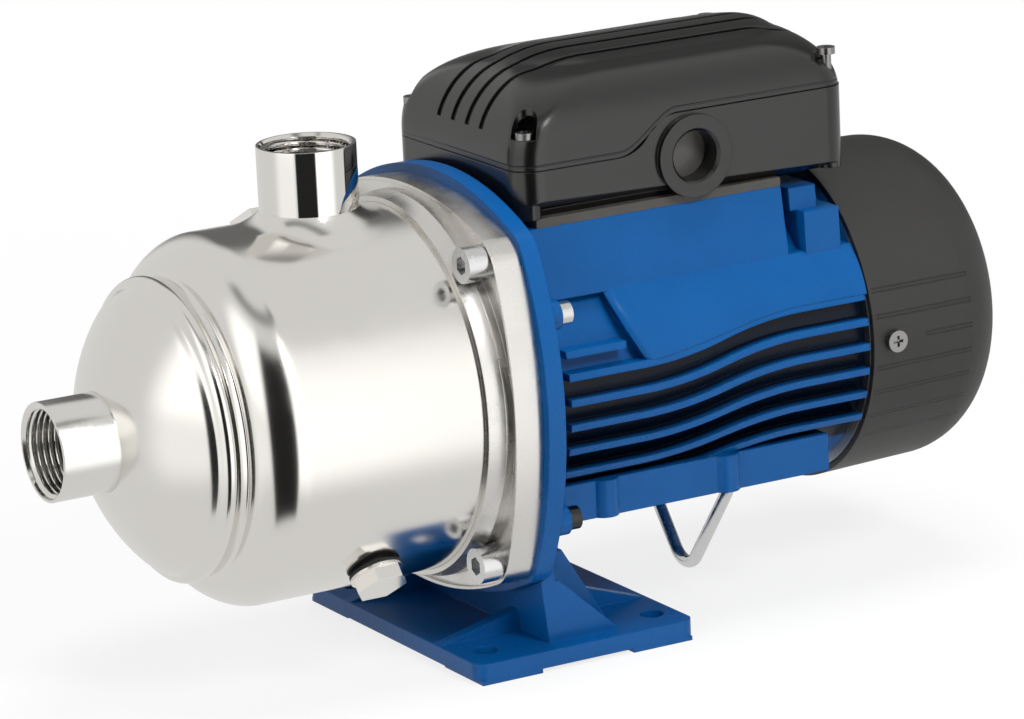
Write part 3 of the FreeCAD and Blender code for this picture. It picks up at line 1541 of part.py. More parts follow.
def terminal_box_lid():
    """Lid: the box above the parting line, hollow, with screw pockets and four long flutes."""
    outer = box_form(Size(0.0, "(0.0)"))
    above = parting_prism(True, S.free_gap / 2)
    shell = cut(common([outer, above]), box_form(-S.box_wall))
    posts = []
    pockets = []
    for x, y, seat in lid_screw_places():
        low = seat - S.lid_seat + S.free_gap / 2
        out_x = math.copysign(1, number_of(x) - number_of(S.entry_place)) * S.lid_notch
        out_y = math.copysign(1, number_of(y)) * S.lid_notch
        posts.append(upright_cylinder(x, y, low, S.box_top, S.lid_pocket + S.box_wall))
        pockets.append(upright_cylinder(x, y, seat, 2 * S.box_top, S.lid_pocket))
        pockets.append(upright_cylinder(x + out_x, y + out_y, seat, 2 * S.box_top, S.lid_pocket))
        pockets.append(upright_cylinder(x, y, low - S.box_wall, seat, S.small_radius - S.free_gap))
    body = fuse([shell, common([outer_copy(), fuse(posts)])])
    grooves = cut(fuse(flute_slabs()), box_form(-S.flute_depth))
    lid = cut(body, fuse(pockets + [grooves]))
    return keep(lid, "terminal_box_lid")


def outer_copy():
    return box_form(Size(0.0, "(0.0)"))


def flute_slabs():
    """Thin upright slabs along the box that mark where the flutes are cut."""
    slabs = []
    for index in range(4):
        y = S.flute_first + index * -S.flute_pitch
        slab = doc.addObject("Part::Box", "Slab")
        bind(slab, "Length", S.box_rear + 2 * S.box_front)
        bind(slab, "Width", S.flute_width)
        bind(slab, "Height", S.box_top - S.parting_high + S.sheet)
        place(slab, -2 * S.box_front, y, S.parting_high - S.sheet)
        slabs.append(slab)
    return slabs


def terminal_box_base():
    """Base: the box below the parting line, with a floor, screw posts and the cable entry boss."""
    outer = common([box_form(Size(0.0, "(0.0)")), parting_prism(False, -S.free_gap / 2)])
    inside = common([box_form(-S.box_wall), above_floor()])
    face = S.box_half + S.entry_proud
    boss = entry_cylinder(S.entry_boss, face, S.box_half - S.entry_reach)
    posts = []
    holes = [entry_cylinder(S.entry_radius, face + S.entry_proud, face - S.entry_depth), entry_chamfer(face),
             entry_cylinder(S.entry_radius + S.blank_lip, face - S.entry_depth, S.box_half - 2 * S.entry_reach)]
    for x, y, seat in lid_screw_places():
        posts.append(upright_cylinder(x, y, S.box_seat, seat - S.lid_seat - S.free_gap / 2, S.lid_pocket))
        holes.append(upright_cylinder(x, y, seat - S.lid_seat - 3 * S.box_wall, seat, S.cover_screw_radius - S.fit_gap))
    for x, y in box_fixing_places():
        holes.append(upright_cylinder(x, y, S.box_seat - 1, S.box_seat + 2 * S.box_wall, S.cover_screw_radius + S.free_gap))
    shell = cut(outer, inside)
    kept_posts = common([box_form(-S.fit_gap), fuse(posts)])
    body = fuse([cut(shell, undercuts()), kept_posts, boss])
    return keep(cut(body, fuse(holes)), "terminal_box_base")


def above_floor():
    """The space over the box's floor."""
    item = doc.addObject("Part::Box", "Space")
    bind(item, "Length", 2 * S.box_rear)
    bind(item, "Width", 4 * S.box_half)
    bind(item, "Height", S.box_top)
    return place(item, -2 * S.box_front, -2 * S.box_half, S.box_seat + S.box_edge_rear)


def undercuts():
    """Wedges that slope the lower side edges inwards, higher at the pump end than at the fan end."""
    wedges = []
    for side in (1, -1):
        wires = []
        for x, rise in ((-S.box_front - 1, S.box_edge_front), (S.box_rear + 1, S.box_edge_rear)):
            half = number_of(S.box_half)
            low = number_of(S.box_seat) - 1
            corners = [(side * (half + 1), low), (side * (half - number_of(S.box_undercut)), low),
                       (side * (half + 1), low + number_of(rise) + 1)]
            points = [FreeCAD.Vector(number_of(x), y, z) for y, z in corners]
            wires.append(Part.makePolygon(points + points[:1]))
        item = doc.addObject("Part::Feature", "Wedge")
        item.Shape = Part.makeLoft(wires, True, True)
        wedges.append(item)
    return fuse(wedges)


def entry_cylinder(radius, outer, inner):
    """A cylinder on the cable entry's axis, between two distances from the box's middle plane."""
    item = doc.addObject("Part::Cylinder", "Entry")
    bind(item, "Radius", radius)
    bind(item, "Height", outer - inner)
    item.Placement = FreeCAD.Placement(FreeCAD.Vector(), FreeCAD.Rotation(X_WAY, QUARTER))
    return place(item, S.entry_place, -inner, S.entry_height)


def entry_chamfer(face):
    """The wider mouth of the cable entry."""
    item = doc.addObject("Part::Cone", "Mouth")
    bind(item, "Radius1", S.entry_radius)
    bind(item, "Radius2", S.entry_radius + 2 * S.entry_mouth)
    bind(item, "Height", 2 * S.entry_mouth)
    item.Placement = FreeCAD.Placement(FreeCAD.Vector(), FreeCAD.Rotation(X_WAY, QUARTER))
    return place(item, S.entry_place, -(face - S.entry_mouth), S.entry_height)


def cable_entry_blank():
    """Disc that is pressed in from inside and closes the cable entry until a gland is fitted."""
    outer = S.box_half + S.entry_proud - S.entry_depth
    item = entry_cylinder(S.entry_radius + S.blank_lip - S.fit_gap, outer, outer - S.blank_thickness)
    return keep(item, "cable_entry_blank")


def box_fixing_places():
    """Where the two screws hold the box on the motor."""
    return [(S.box_wall * 4, 0 * S.box_half), (S.pad_rear - S.box_wall * 4, 0 * S.box_half)]


def box_fixing_screws():
    """Two round-headed screws through the floor of the box into the motor housing."""
    floor = S.box_seat + S.box_edge_rear
    length = floor - S.axis_height - S.pad_height + S.fixing_reach
    screw = round_screw(S.small_head, S.small_radius, S.cover_screw_radius, length)
    return compound("box_fixing_screws", [copy_of(screw, Z_WAY, 0, x, y, floor) for x, y in box_fixing_places()])


def lid_screws():
    """Four round-headed screws in the lid's pockets."""
    screw = round_screw(S.lid_screw_head, S.small_radius, S.cover_screw_radius - 2 * S.fit_gap,
                        S.lid_seat + 2 * S.box_wall)
    return compound("lid_screws", [copy_of(screw, Z_WAY, 0, x, y, seat) for x, y, seat in lid_screw_places()])


def box_seat_gasket():
    """Rubber mat between the motor housing and the terminal box."""
    front = -S.box_front + S.box_undercut
    item = doc.addObject("Part::Box", "Mat")
    bind(item, "Length", S.pad_rear - front)
    bind(item, "Width", 2 * S.pad_half)
    bind(item, "Height", S.box_seat - S.axis_height - S.pad_height)
    place(item, front, -S.pad_half, S.axis_height + S.pad_height)
    holes = [upright_cylinder(x, y, S.axis_height + S.pad_height - 1, S.box_seat + 1, S.cover_screw_radius + S.fit_gap)
             for x, y in box_fixing_places()]
    holes.append(entry_cylinder(S.entry_boss + S.free_gap, S.box_half, S.box_half - 2 * S.entry_reach))
    return keep(cut(item, fuse(holes)), "box_seat_gasket")


def terminal_block():
    """Block with a row of terminal posts on the box's floor."""
    floor = S.box_seat + S.box_edge_rear
    start = S.box_wall * 8
    base = doc.addObject("Part::Box", "Block")
    bind(base, "Length", S.terminal_length)
    bind(base, "Width", S.terminal_width)
    bind(base, "Height", S.terminal_height)
    place(base, start, -S.terminal_width - S.box_wall, floor)
    posts = []
    pitch = S.terminal_length / 4
    for index in range(4):
        x = start + pitch * (index + 0.5)
        posts.append(upright_cylinder(x, -S.terminal_width / 2 - S.box_wall, floor + S.terminal_height / 2,
                                      floor + S.terminal_height + S.small_head_height, S.small_radius))
    return keep(fuse([base] + posts), "terminal_block")


def capacitor_line():
    """Height and side of the capacitor's axis in the box."""
    return (S.capacitor_radius + S.box_wall * 2, S.box_seat + S.box_edge_rear + S.capacitor_radius + S.free_gap)


def capacitor():
    """Round run capacitor that lies along the box."""
    y, z = capacitor_line()
    start = S.pad_rear - S.box_wall * 8 - S.capacitor_length
    can = doc.addObject("Part::Cylinder", "Can")
    bind(can, "Radius", S.capacitor_radius)
    bind(can, "Height", S.capacitor_length)
    can.Placement = FreeCAD.Placement(FreeCAD.Vector(), ALONG_X)
    place(can, start, y, z)
    return keep(can, "capacitor")


def capacitor_clamp():
    """Strap round the capacitor with its foot on the floor."""
    y, z = capacitor_line()
    start = S.pad_rear - S.box_wall * 8 - S.capacitor_length / 2
    width = S.box_wall * 4
    solids = []
    for radius in (S.capacitor_radius + S.sheet, S.capacitor_radius + S.fit_gap):
        band = doc.addObject("Part::Cylinder", "Band")
        bind(band, "Radius", radius)
        bind(band, "Height", width)
        band.Placement = FreeCAD.Placement(FreeCAD.Vector(), ALONG_X)
        solids.append(place(band, start, y, z))
    above = doc.addObject("Part::Box", "Above")
    bind(above, "Length", 2 * width)
    bind(above, "Width", 4 * S.capacitor_radius)
    bind(above, "Height", 3 * S.capacitor_radius)
    place(above, start - width / 2, y - 2 * S.capacitor_radius, S.box_seat + S.box_edge_rear)
    tab = doc.addObject("Part::Box", "Tab")
    bind(tab, "Length", width)
    bind(tab, "Width", S.capacitor_radius * 1.6)
    bind(tab, "Height", S.sheet)
    place(tab, start, y, S.box_seat + S.box_edge_rear)
    strap = cut(common([fuse([solids[0], tab]), above]), solids[1])
    return keep(strap, "capacitor_clamp")


# The assembly

def build():
    pump_casing()
    suction_port()
    discharge_port()
    plug("drain_plug", 1)
    plug("fill_plug", -1)
    plug_washer("drain_plug_seal", 1)
    plug_washer("fill_plug_seal", -1)
    casing_flange()
    casing_o_ring()
    seal_plate()
    seal_seat()
    seal_head()
    seal_spring()
    inlet_plate()
    for index in range(STAGES):
        stage_body(index)
        impeller(index)
    impeller_spacers()
    pump_shaft()
    shaft_nut()
    bearing("front_bearing", -S.bearing_place, S.front_width, S.front_bore, S.front_outside, S.front_ball)
    bearing("rear_bearing", rear_bearing_start(), S.rear_width, S.rear_bore, S.rear_outside, S.rear_ball)
    wave_washer()
    slinger()
    motor_adapter()
    motor_housing()
    stator_core()
    stator_windings()
    rotor_core()
    rear_end_shield()
    fan()
    fan_cover()
    flange_screws()
    lock_washers()
    housing_screws()
    shield_screws()
    fan_cover_screws()
    foot()
    foot_screws()
    wire_stand()
    terminal_box_lid()
    terminal_box_base()
    cable_entry_blank()
    box_fixing_screws()
    lid_screws()
    box_seat_gasket()
    terminal_block()
    capacitor()
    capacitor_clamp()


def check_and_write():
    """Stop if anything failed, then write one file for each sub-part."""
    failed = [item.Label for item in doc.Objects if "Invalid" in item.State or "Error" in item.State]
    for item in subparts:
        shape = Part.getShape(item)
        if shape.isNull() or not shape.isValid() or not shape.Solids:
            failed.append(item.Label + " shape")
    if failed:
        raise RuntimeError("failed: " + ", ".join(failed))
    os.makedirs("parts", exist_ok=True)
    for item in subparts:
        item.Shape.exportStep("parts/%s.step" % item.Label)
    print(len(subparts), "sub-parts written")


build()
doc.recompute()
check_and_write()
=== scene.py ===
"""Looks of a horizontal multistage pump, laid out as an add-on and run as a script.

Lengths are in metres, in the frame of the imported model: X runs along the shaft towards the fan,
Z is up, and the foot stands on the floor.
"""

import json
import math

import bmesh
import bpy
import numpy as np
from mathutils import Matrix, Vector


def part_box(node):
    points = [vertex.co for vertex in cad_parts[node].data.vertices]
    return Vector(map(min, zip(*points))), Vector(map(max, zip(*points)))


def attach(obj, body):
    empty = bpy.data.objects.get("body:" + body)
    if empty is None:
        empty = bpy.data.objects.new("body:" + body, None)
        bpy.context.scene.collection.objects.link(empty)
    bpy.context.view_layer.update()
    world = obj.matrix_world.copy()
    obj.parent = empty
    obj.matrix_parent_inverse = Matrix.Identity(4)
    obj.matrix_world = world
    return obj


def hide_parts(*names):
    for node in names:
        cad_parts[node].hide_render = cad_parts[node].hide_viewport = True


bl_info = {
    "name": "Multistage pump",
    "version": (1, 0, 0),
    "blender": (4, 5, 0),
    "location": "View3D > Sidebar > Pump",
    "description": "Surfaces, finishes and studio of a horizontal multistage pump",
    "category": "Object",
}

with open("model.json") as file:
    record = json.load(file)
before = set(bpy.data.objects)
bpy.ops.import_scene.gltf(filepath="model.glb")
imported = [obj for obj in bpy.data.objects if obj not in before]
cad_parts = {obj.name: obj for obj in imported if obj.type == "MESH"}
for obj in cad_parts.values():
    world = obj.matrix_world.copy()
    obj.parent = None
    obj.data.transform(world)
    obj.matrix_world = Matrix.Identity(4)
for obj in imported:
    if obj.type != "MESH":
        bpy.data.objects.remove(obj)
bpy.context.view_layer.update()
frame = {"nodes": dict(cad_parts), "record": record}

AXIS = float(sum(corner.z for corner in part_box("suction_port")) / 2)
SHAFT = Vector((1, 0, 0))
UP = Vector((0, 0, 1))
TURN = 2 * math.pi
SLOTS = {row["node"]: row["material_slot"] for row in frame["record"]["subparts"]}

# Casing and ports: radii, and where the discharge port stands along the shaft
CASING = 0.0675
SLEEVE = 0.0180
THREAD = 0.01515
DISCHARGE = -0.070

# Side fins of the motor: where their edges rise along the shaft, the uppermost edge's height over
# the shaft before and after, the radii of their feet and edges, and the panel's height over them
FIN_WAVE = 0.028, 0.098
FIN_HEIGHT = 0.0102, 0.0192
FIN_FOOT = 0.0575
FIN_EDGE = 0.0622
PANEL_FOOT = 0.0347

# Seam of the terminal box: where it rises along the shaft, and its height before and after
SEAM_WAVE = 0.031, 0.056
SEAM_HEIGHT = 0.178, 0.191


# Curves and surfaces

SAME_POINT = 2e-7


def even(points, step):
    """The same polyline with points this far apart."""
    points = np.asarray(points, float)
    length = np.concatenate([[0], np.cumsum(np.linalg.norm(np.diff(points, axis=0), axis=1))])
    places = np.linspace(0, length[-1], max(2, int(length[-1] / step) + 1))
    return np.stack([np.interp(places, length, points[:, k]) for k in range(points.shape[1])], 1)


def softened(points, step, softness):
    """A polyline with rounded corners: a bell-shaped running average along its evenly spaced points.

    Both ends stay in place, because the line is continued past each by its own mirror image.
    """
    line = even(points, step)
    reach = int(3 * softness / step) + 1
    reach = min(reach, len(line) - 1)
    before = 2 * line[0] - line[reach:0:-1]
    after = 2 * line[-1] - line[-2 : -reach - 2 : -1]
    long = np.concatenate([before, line, after])
    bell = np.exp(-0.5 * (np.arange(-reach, reach + 1) * step / softness) ** 2)
    bell /= bell.sum()
    return np.stack([np.convolve(long[:, k], bell, "valid") for k in range(line.shape[1])], 1)


def thinned(line, reach, turn):
    """Fewer points: one for each length of reach, and more where the line turns by this angle."""
    steps = np.diff(line, axis=0)
    lengths = np.linalg.norm(steps, axis=1)
    ways = np.unwrap(np.arctan2(steps[:, 1], steps[:, 0]))
    corners = np.abs(np.diff(ways, prepend=ways[0]))
    measure = np.concatenate([[0], np.cumsum(lengths / reach + corners / math.radians(turn))])
    count = max(3, int(math.ceil(measure[-1])) + 1)
    index = np.unique(np.searchsorted(measure, np.linspace(0, measure[-1], count)).clip(0, len(line) - 1))
    return line[index]


def arc(centre, radius, start, end, count=24):
    """Points of a circle about centre, from one angle to another in degrees."""
    angles = np.radians(np.linspace(start, end, count))
    return np.stack([centre[0] + radius * np.cos(angles), centre[1] + radius * np.sin(angles)], 1)


def wave(x, stretch, heights):
    """Level at the first height, up in an S along the stretch, and level at the second."""
    share = np.clip((np.asarray(x, float) - stretch[0]) / (stretch[1] - stretch[0]), 0, 1)
    return heights[0] + (heights[1] - heights[0]) * share * share * (3 - 2 * share)


def bends(start, turns):
    """Arcs that follow one another from a start point, each as (radius, first angle, last angle)."""
    points = np.array([start])
    for radius, first, last in turns:
        step = arc((0, 0), radius, first, last, 40)
        points = np.concatenate([points, points[-1] + step[1:] - step[0]])
    return points


def round_axis(rows, origin, axis):
    """Carries rows of (along, radius) round an axis.

    A point is origin + along * axis + radius * (cos(angle) * first + sin(angle) * second), where
    first and second are square to the axis. Along and radius may differ from angle to angle.
    """
    along, radius = np.asarray(rows[0], float), np.asarray(rows[1], float)
    axis = Vector(axis).normalized()
    first = Vector((0, 0, 1)) if abs(axis.z) < 0.9 else Vector((1, 0, 0))
    first = (first - axis * first.dot(axis)).normalized()
    second = axis.cross(first)
    columns = along.shape[1]
    angles = np.arange(columns) * TURN / columns
    across = np.cos(angles)[:, None] * np.array(first) + np.sin(angles)[:, None] * np.array(second)
    return np.array(origin) + along[..., None] * np.array(axis) + radius[..., None] * across


def turned(profile, columns, origin, axis):
    """A profile of (along, radius) points turned about an axis."""
    profile = np.asarray(profile, float)
    rows = profile[:, 0, None] + np.zeros(columns), profile[:, 1, None] + np.zeros(columns)
    return round_axis(rows, origin, axis)


def grid_faces(rows, columns, wrap_rows, wrap_columns):
    """Four corners of each cell of a grid, as indices into its points."""
    i = np.arange(rows if wrap_rows else rows - 1)[:, None]
    j = np.arange(columns if wrap_columns else columns - 1)[None, :]
    a = i * columns + j
    b = i * columns + (j + 1) % columns
    c = (i + 1) % rows * columns + (j + 1) % columns
    d = (i + 1) % rows * columns + j
    return np.stack([a, b, c, d], -1).reshape(-1, 4)


def closed_mesh(name, sheets):
    """One mesh from several closed grids of points, with its faces outwards.

    A sheet is (points, wrap_rows, wrap_columns). A row whose points all meet closes a pole.
    """
    joined = bmesh.new()
    for points, wrap_rows, wrap_columns in sheets:
        mesh = bpy.data.meshes.new(name)
        rows, columns = points.shape[:2]
        faces = grid_faces(rows, columns, wrap_rows, wrap_columns)
        mesh.from_pydata(points.reshape(-1, 3), [], faces.tolist())
        part = bmesh.new()
        part.from_mesh(mesh)
        bmesh.ops.remove_doubles(part, verts=part.verts, dist=SAME_POINT)
        bmesh.ops.recalc_face_normals(part, faces=part.faces)
        part.to_mesh(mesh)
        part.free()
        joined.from_mesh(mesh)
        bpy.data.meshes.remove(mesh)
    mesh = bpy.data.meshes.new(name)
    joined.to_mesh(mesh)
    joined.free()
    return mesh


def placed(name, data):
    """A new object of the scene for a mesh, a light or a camera."""
    made = bpy.data.objects.new(name, data)
    bpy.context.scene.collection.objects.link(made)
    return made


def piece(name, sheets, finish, body, replaces=(), crease=38.0, cutters=()):
    """A visible piece from closed grids, cut by its cutters, with its finish and body.

    A cutter is (grids, spared), as carve takes them. Edges that turn by more than the crease, in
    degrees, stay sharp.
    """
    made = placed(name, closed_mesh(name, sheets))
    for grids, spared in cutters:
        carve(made, grids, spared)
    mesh = made.data
    mesh.shade_smooth()
    mesh.set_sharp_from_angle(angle=math.radians(crease))
    mesh.materials.clear()
    mesh.materials.append(finish)
    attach(made, body)
    if replaces:
        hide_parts(*replaces)
    return made


def carve(made, grids, spared=None):
    """Takes the space inside closed grids of points out of an object, but not inside the spared one."""
    tool = placed("cutter", closed_mesh("cutter", [(points, False, True) for points in grids]))
    if spared is not None:
        carve(tool, [spared])
    modifier = made.modifiers.new("cut", "BOOLEAN")
    modifier.object = tool
    modifier.solver = "EXACT"
    graph = bpy.context.evaluated_depsgraph_get()
    cut_mesh = bpy.data.meshes.new_from_object(made.evaluated_get(graph))
    made.modifiers.remove(modifier)
    spent = made.data, tool.data
    made.data = cut_mesh
    bpy.data.objects.remove(tool)
    for mesh in spent:
        bpy.data.meshes.remove(mesh)
    cut_mesh.name = made.name


def rod(start, end, radius, origin, axis, columns=64):
    """A closed cylinder of points, for cutting."""
    return turned([(start, 0), (start, radius), (end, radius), (end, 0)], columns, origin, axis)


# Finishes


def shade(colour, factor):
    """A colour made darker or lighter, up to white."""
    return tuple(min(1.0, channel * factor) for channel in colour)


class Finish:
    """A material under construction: a Principled shader and the nodes that feed it."""

    def __init__(self, name, colour, roughness, metallic=0.0, **values):
        self.material = bpy.data.materials.new(name)
        self.material.use_nodes = True
        self.tree = self.material.node_tree
        self.tree.nodes.clear()
        self.shader = self.tree.nodes.new("ShaderNodeBsdfPrincipled")
        self.surface = self.tree.nodes.new("ShaderNodeOutputMaterial").inputs["Surface"]
        self.tree.links.new(self.shader.outputs[0], self.surface)
        self.set("Base Color", (*colour, 1.0))
        self.set("Roughness", roughness)
        self.set("Metallic", metallic)
        for socket, value in values.items():
            self.set(socket.replace("_", " "), value)
        self.coordinates = self.add("ShaderNodeTexCoord").outputs["Object"]

    def set(self, socket, value):
        """Puts a plain value on one of the shader's own sockets."""
        self.shader.inputs[socket].default_value = value

    def add(self, kind, settings=None, **inputs):
        """A new node, with its settings and with its inputs set or joined."""
        node = self.tree.nodes.new(kind)
        for key, value in (settings or {}).items():
            setattr(node, key, value)
        for key, value in inputs.items():
            self.feed(node.inputs[key.replace("_", " ")], value)
        return node

    def feed(self, socket, value):
        """Joins a socket to another one, or sets it to a value."""
        if isinstance(value, bpy.types.NodeSocket):
            self.tree.links.new(value, socket)
        else:
            socket.default_value = value

    def math(self, operation, *values):
        """The result of one sum, joined from sockets or numbers."""
        node = self.add("ShaderNodeMath", {"operation": operation})
        for socket, value in zip(node.inputs, values):
            self.feed(socket, value)
        return node.outputs[0]

    def noise(self, scale, detail=2.0, rough=0.5):
        """Cloudy noise in the object's own place, this many cells to the metre, from 0 to 1."""
        made = self.add("ShaderNodeTexNoise", Vector=self.coordinates, Scale=scale, Detail=detail,
                        Roughness=rough)
        return made.outputs[0]

    def split(self, vector=None):
        """X, Y and Z of a vector, or of the place on the object."""
        return self.add("ShaderNodeSeparateXYZ", Vector=vector or self.coordinates).outputs

    def reach(self, first, second):
        """Length of the long side over two others that are square to each other."""
        return self.math("SQRT", self.math("ADD", self.math("MULTIPLY", first, first),
                                           self.math("MULTIPLY", second, second)))

    def product(self, *factors):
        """All factors multiplied."""
        result = factors[0]
        for factor in factors[1:]:
            result = self.math("MULTIPLY", result, factor)
        return result

    def ramp(self, value, low, high, bottom=0.0, top=1.0):
        """Carries low..high to bottom..top, with soft ends."""
        made = self.add("ShaderNodeMapRange", {"interpolation_type": "SMOOTHSTEP"}, Value=value, From_Min=low,
                        From_Max=high, To_Min=bottom, To_Max=top)
        return made.outputs[0]

    def blend(self, factor, first, second):
        """A mix of two colours."""
        made = self.add("ShaderNodeMix", {"data_type": "RGBA"})
        self.feed(made.inputs[0], factor)
        for index, value in ((6, first), (7, second)):
            plain_value = not isinstance(value, bpy.types.NodeSocket)
            self.feed(made.inputs[index], (*value, 1.0) if plain_value else value)
        return made.outputs[2]

    def colour(self, socket):
        """Joins a colour to the shader."""
        self.tree.links.new(socket, self.shader.inputs["Base Color"])

    def roughness(self, socket):
        """Joins a roughness to the shader."""
        self.tree.links.new(socket, self.shader.inputs["Roughness"])

    def mix_shaders(self, factor, first, second):
        """The first node's shader where the factor is 0, and the second's where it is 1."""
        mixed = self.add("ShaderNodeMixShader")
        for socket, value in zip(mixed.inputs, (factor, first.outputs[0], second.outputs[0])):
            self.feed(socket, value)
        return mixed

    def relief(self, heights, edge=0.0):
        """Bump from (height, depth) pairs, over edges that are rounded by this radius."""
        normal = None
        if edge:
            normal = self.add("ShaderNodeBevel", {"samples": 4}, Radius=edge).outputs[0]
        for height, depth in heights:
            bump = self.add("ShaderNodeBump", Strength=1.0, Distance=depth, Height=height)
            if normal is not None:
                self.tree.links.new(normal, bump.inputs["Normal"])
            normal = bump.outputs[0]
        if normal is not None:
            self.tree.links.new(normal, self.shader.inputs["Normal"])


def polished_steel(name, polish, grain=1.0, edge=0.0):
    """Drawn and polished stainless steel: faint clouds in the polish over a very fine sandy grain."""
    steel = Finish(name, (0.83, 0.81, 0.775), polish, 1.0)
    clouds = steel.noise(26.0, 4.0, 0.6)
    steel.roughness(steel.ramp(clouds, 0.3, 0.7, polish * 0.8, polish * 1.25))
    steel.colour(steel.blend(clouds, (0.80, 0.78, 0.745), (0.86, 0.845, 0.815)))
    sand = steel.noise(3200.0, 2.0)
    ripple = steel.noise(420.0, 2.0)
    steel.relief([(ripple, 2.0e-6 * grain), (sand, 1.6e-6 * grain)], edge)
    return steel.material


def turned_steel(name, polish, origin, axis, edge=0.0002):
    """Steel from the lathe: fine rings about its own axis, from noise that is stretched round it."""
    steel = Finish(name, (0.81, 0.80, 0.77), polish, 1.0)
    place = steel.add("ShaderNodeMapping", Vector=steel.coordinates, Location=tuple(-v for v in origin))
    sides = list(steel.split(place.outputs[0]))
    along = sides.pop("XYZ".index(axis))
    spread = steel.add("ShaderNodeCombineXYZ", X=steel.math("MULTIPLY", along, 5200.0),
                       Y=steel.math("MULTIPLY", steel.reach(*sides), 5200.0), Z=0.0)
    rings = steel.add("ShaderNodeTexNoise", Vector=spread.outputs[0], Scale=1.0, Detail=3.0).outputs[0]
    steel.roughness(steel.ramp(rings, 0.3, 0.7, polish * 0.7, polish * 1.3))
    steel.relief([(rings, 3.0e-6)], edge)
    return steel.material


def satin_steel(name, colour=(0.74, 0.725, 0.70), roughness=0.27, edge=0.0004):
    """Machined or cast stainless steel with a short satin grain and small pits."""
    steel = Finish(name, colour, roughness, 1.0)
    grain = steel.noise(900.0, 5.0, 0.7)
    clouds = steel.noise(60.0, 3.0, 0.6)
    steel.roughness(steel.ramp(clouds, 0.3, 0.7, roughness * 0.75, roughness * 1.3))
    steel.colour(steel.blend(clouds, shade(colour, 0.94), shade(colour, 1.06)))
    steel.relief([(grain, 1.0e-5)], edge)
    return steel.material


def zinc_plate(name, colour=(0.72, 0.725, 0.73), roughness=0.22, edge=0.0002, shaded_below=None):
    """Bright zinc or nickel plate with thin bluish clouds, painted shade below a height if one is given."""
    plate = Finish(name, colour, roughness, 1.0)
    clouds = plate.noise(220.0, 4.0, 0.6)
    coat = plate.blend(clouds, shade(colour, 0.86), shade(colour, 1.1))
    if shaded_below is not None:
        # Painted shade: below this height the plate's colour turns near black, as if in shadow.
        low = plate.math("LESS_THAN", plate.split()[2], shaded_below)
        coat = plate.blend(low, coat, shade(colour, 0.08))
    plate.colour(coat)
    plate.roughness(plate.ramp(clouds, 0.25, 0.75, roughness * 0.7, roughness * 1.5))
    plate.relief([(plate.noise(2400.0, 2.0), 3.0e-6)], edge)
    return plate.material


def enamel(name, colour):
    """Gloss paint on a casting: the casting's low waves and a fine orange peel under a clear gloss."""
    paint = Finish(name, colour, 0.32, 0.0, Coat_Weight=0.06, Coat_Roughness=0.16, Specular_IOR_Level=0.2)
    waves = paint.noise(95.0, 3.0, 0.5)
    peel = paint.noise(1150.0, 3.0, 0.55)
    dust = paint.noise(38.0, 5.0, 0.65)
    bright = tuple(min(1.0, channel * 1.12 + 0.002) for channel in colour)
    coat = paint.blend(dust, shade(colour, 0.86), bright)
    # Painted shade: the paint turns near black deep in the gaps between the side fins.
    paint.colour(paint.blend(gap_shade(paint), coat, shade(colour, 0.06)))
    paint.roughness(paint.ramp(peel, 0.25, 0.75, 0.26, 0.40))
    paint.relief([(waves, 9.0e-5), (peel, 2.6e-5)], 0.0008)
    return paint.material


def fin_line(x):
    """Height over the shaft of the uppermost fin's edge: level, up in an S and level again."""
    return wave(x, FIN_WAVE, FIN_HEIGHT)


def gap_shade(paint):
    """Mask of painted shade: 1 deep in the gaps between the side fins, and 0 elsewhere."""
    x, y, z = paint.split()
    rise = paint.math("SUBTRACT", z, AXIS)
    radius = paint.reach(y, rise)
    deep = paint.ramp(radius, FIN_FOOT, FIN_EDGE, 1.0, 0.0)
    drop = paint.math("SUBTRACT", paint.ramp(x, *FIN_WAVE, *FIN_HEIGHT), rise)
    under_fin = paint.ramp(drop, 0.0004, 0.0016)
    over_skirt = paint.ramp(rise, -0.0395, -0.0375)
    behind_adapter = paint.ramp(x, -0.0095, -0.0075)
    on_side = paint.math("LESS_THAN", radius, 0.0630)
    return paint.product(deep, under_fin, over_skirt, behind_adapter, on_side)


def moulded(name, colour, roughness, grain, depth, edge=0.0006, waves=2.0e-5, gloss=0.5, line=None):
    """Moulded plastic: spark-eroded grain, slight sink marks, perhaps an engraved line in painted shade."""
    plastic = Finish(name, colour, roughness, 0.0, Specular_IOR_Level=gloss)
    fine = plastic.noise(grain, 3.0, 0.6)
    broad = plastic.noise(40.0, 3.0, 0.5)
    skin = plastic.blend(broad, shade(colour, 0.85), shade(colour, 1.15))
    reliefs = [(broad, waves), (fine, depth)]
    if line:
        engraved = line(plastic)
        # Painted shade: the colour darkens along the engraved line, on top of its bump.
        skin = plastic.blend(engraved, skin, shade(colour, 0.3))
        reliefs.insert(0, (engraved, -0.0004))
    plastic.colour(skin)
    plastic.roughness(plastic.ramp(fine, 0.2, 0.8, roughness * 0.85, roughness * 1.2))
    plastic.relief(reliefs, edge)
    return plastic.material


def lip_line(plastic):
    """1 along a thin line that follows the lid's seam at the height of its inner lip, and 0 elsewhere."""
    x, _, z = plastic.split()
    seam = plastic.ramp(x, *SEAM_WAVE, *SEAM_HEIGHT)
    away = plastic.math("ABSOLUTE", plastic.math("SUBTRACT", plastic.math("SUBTRACT", z, seam), 0.0019))
    return plastic.ramp(away, 0.00012, 0.0004, 1.0, 0.0)


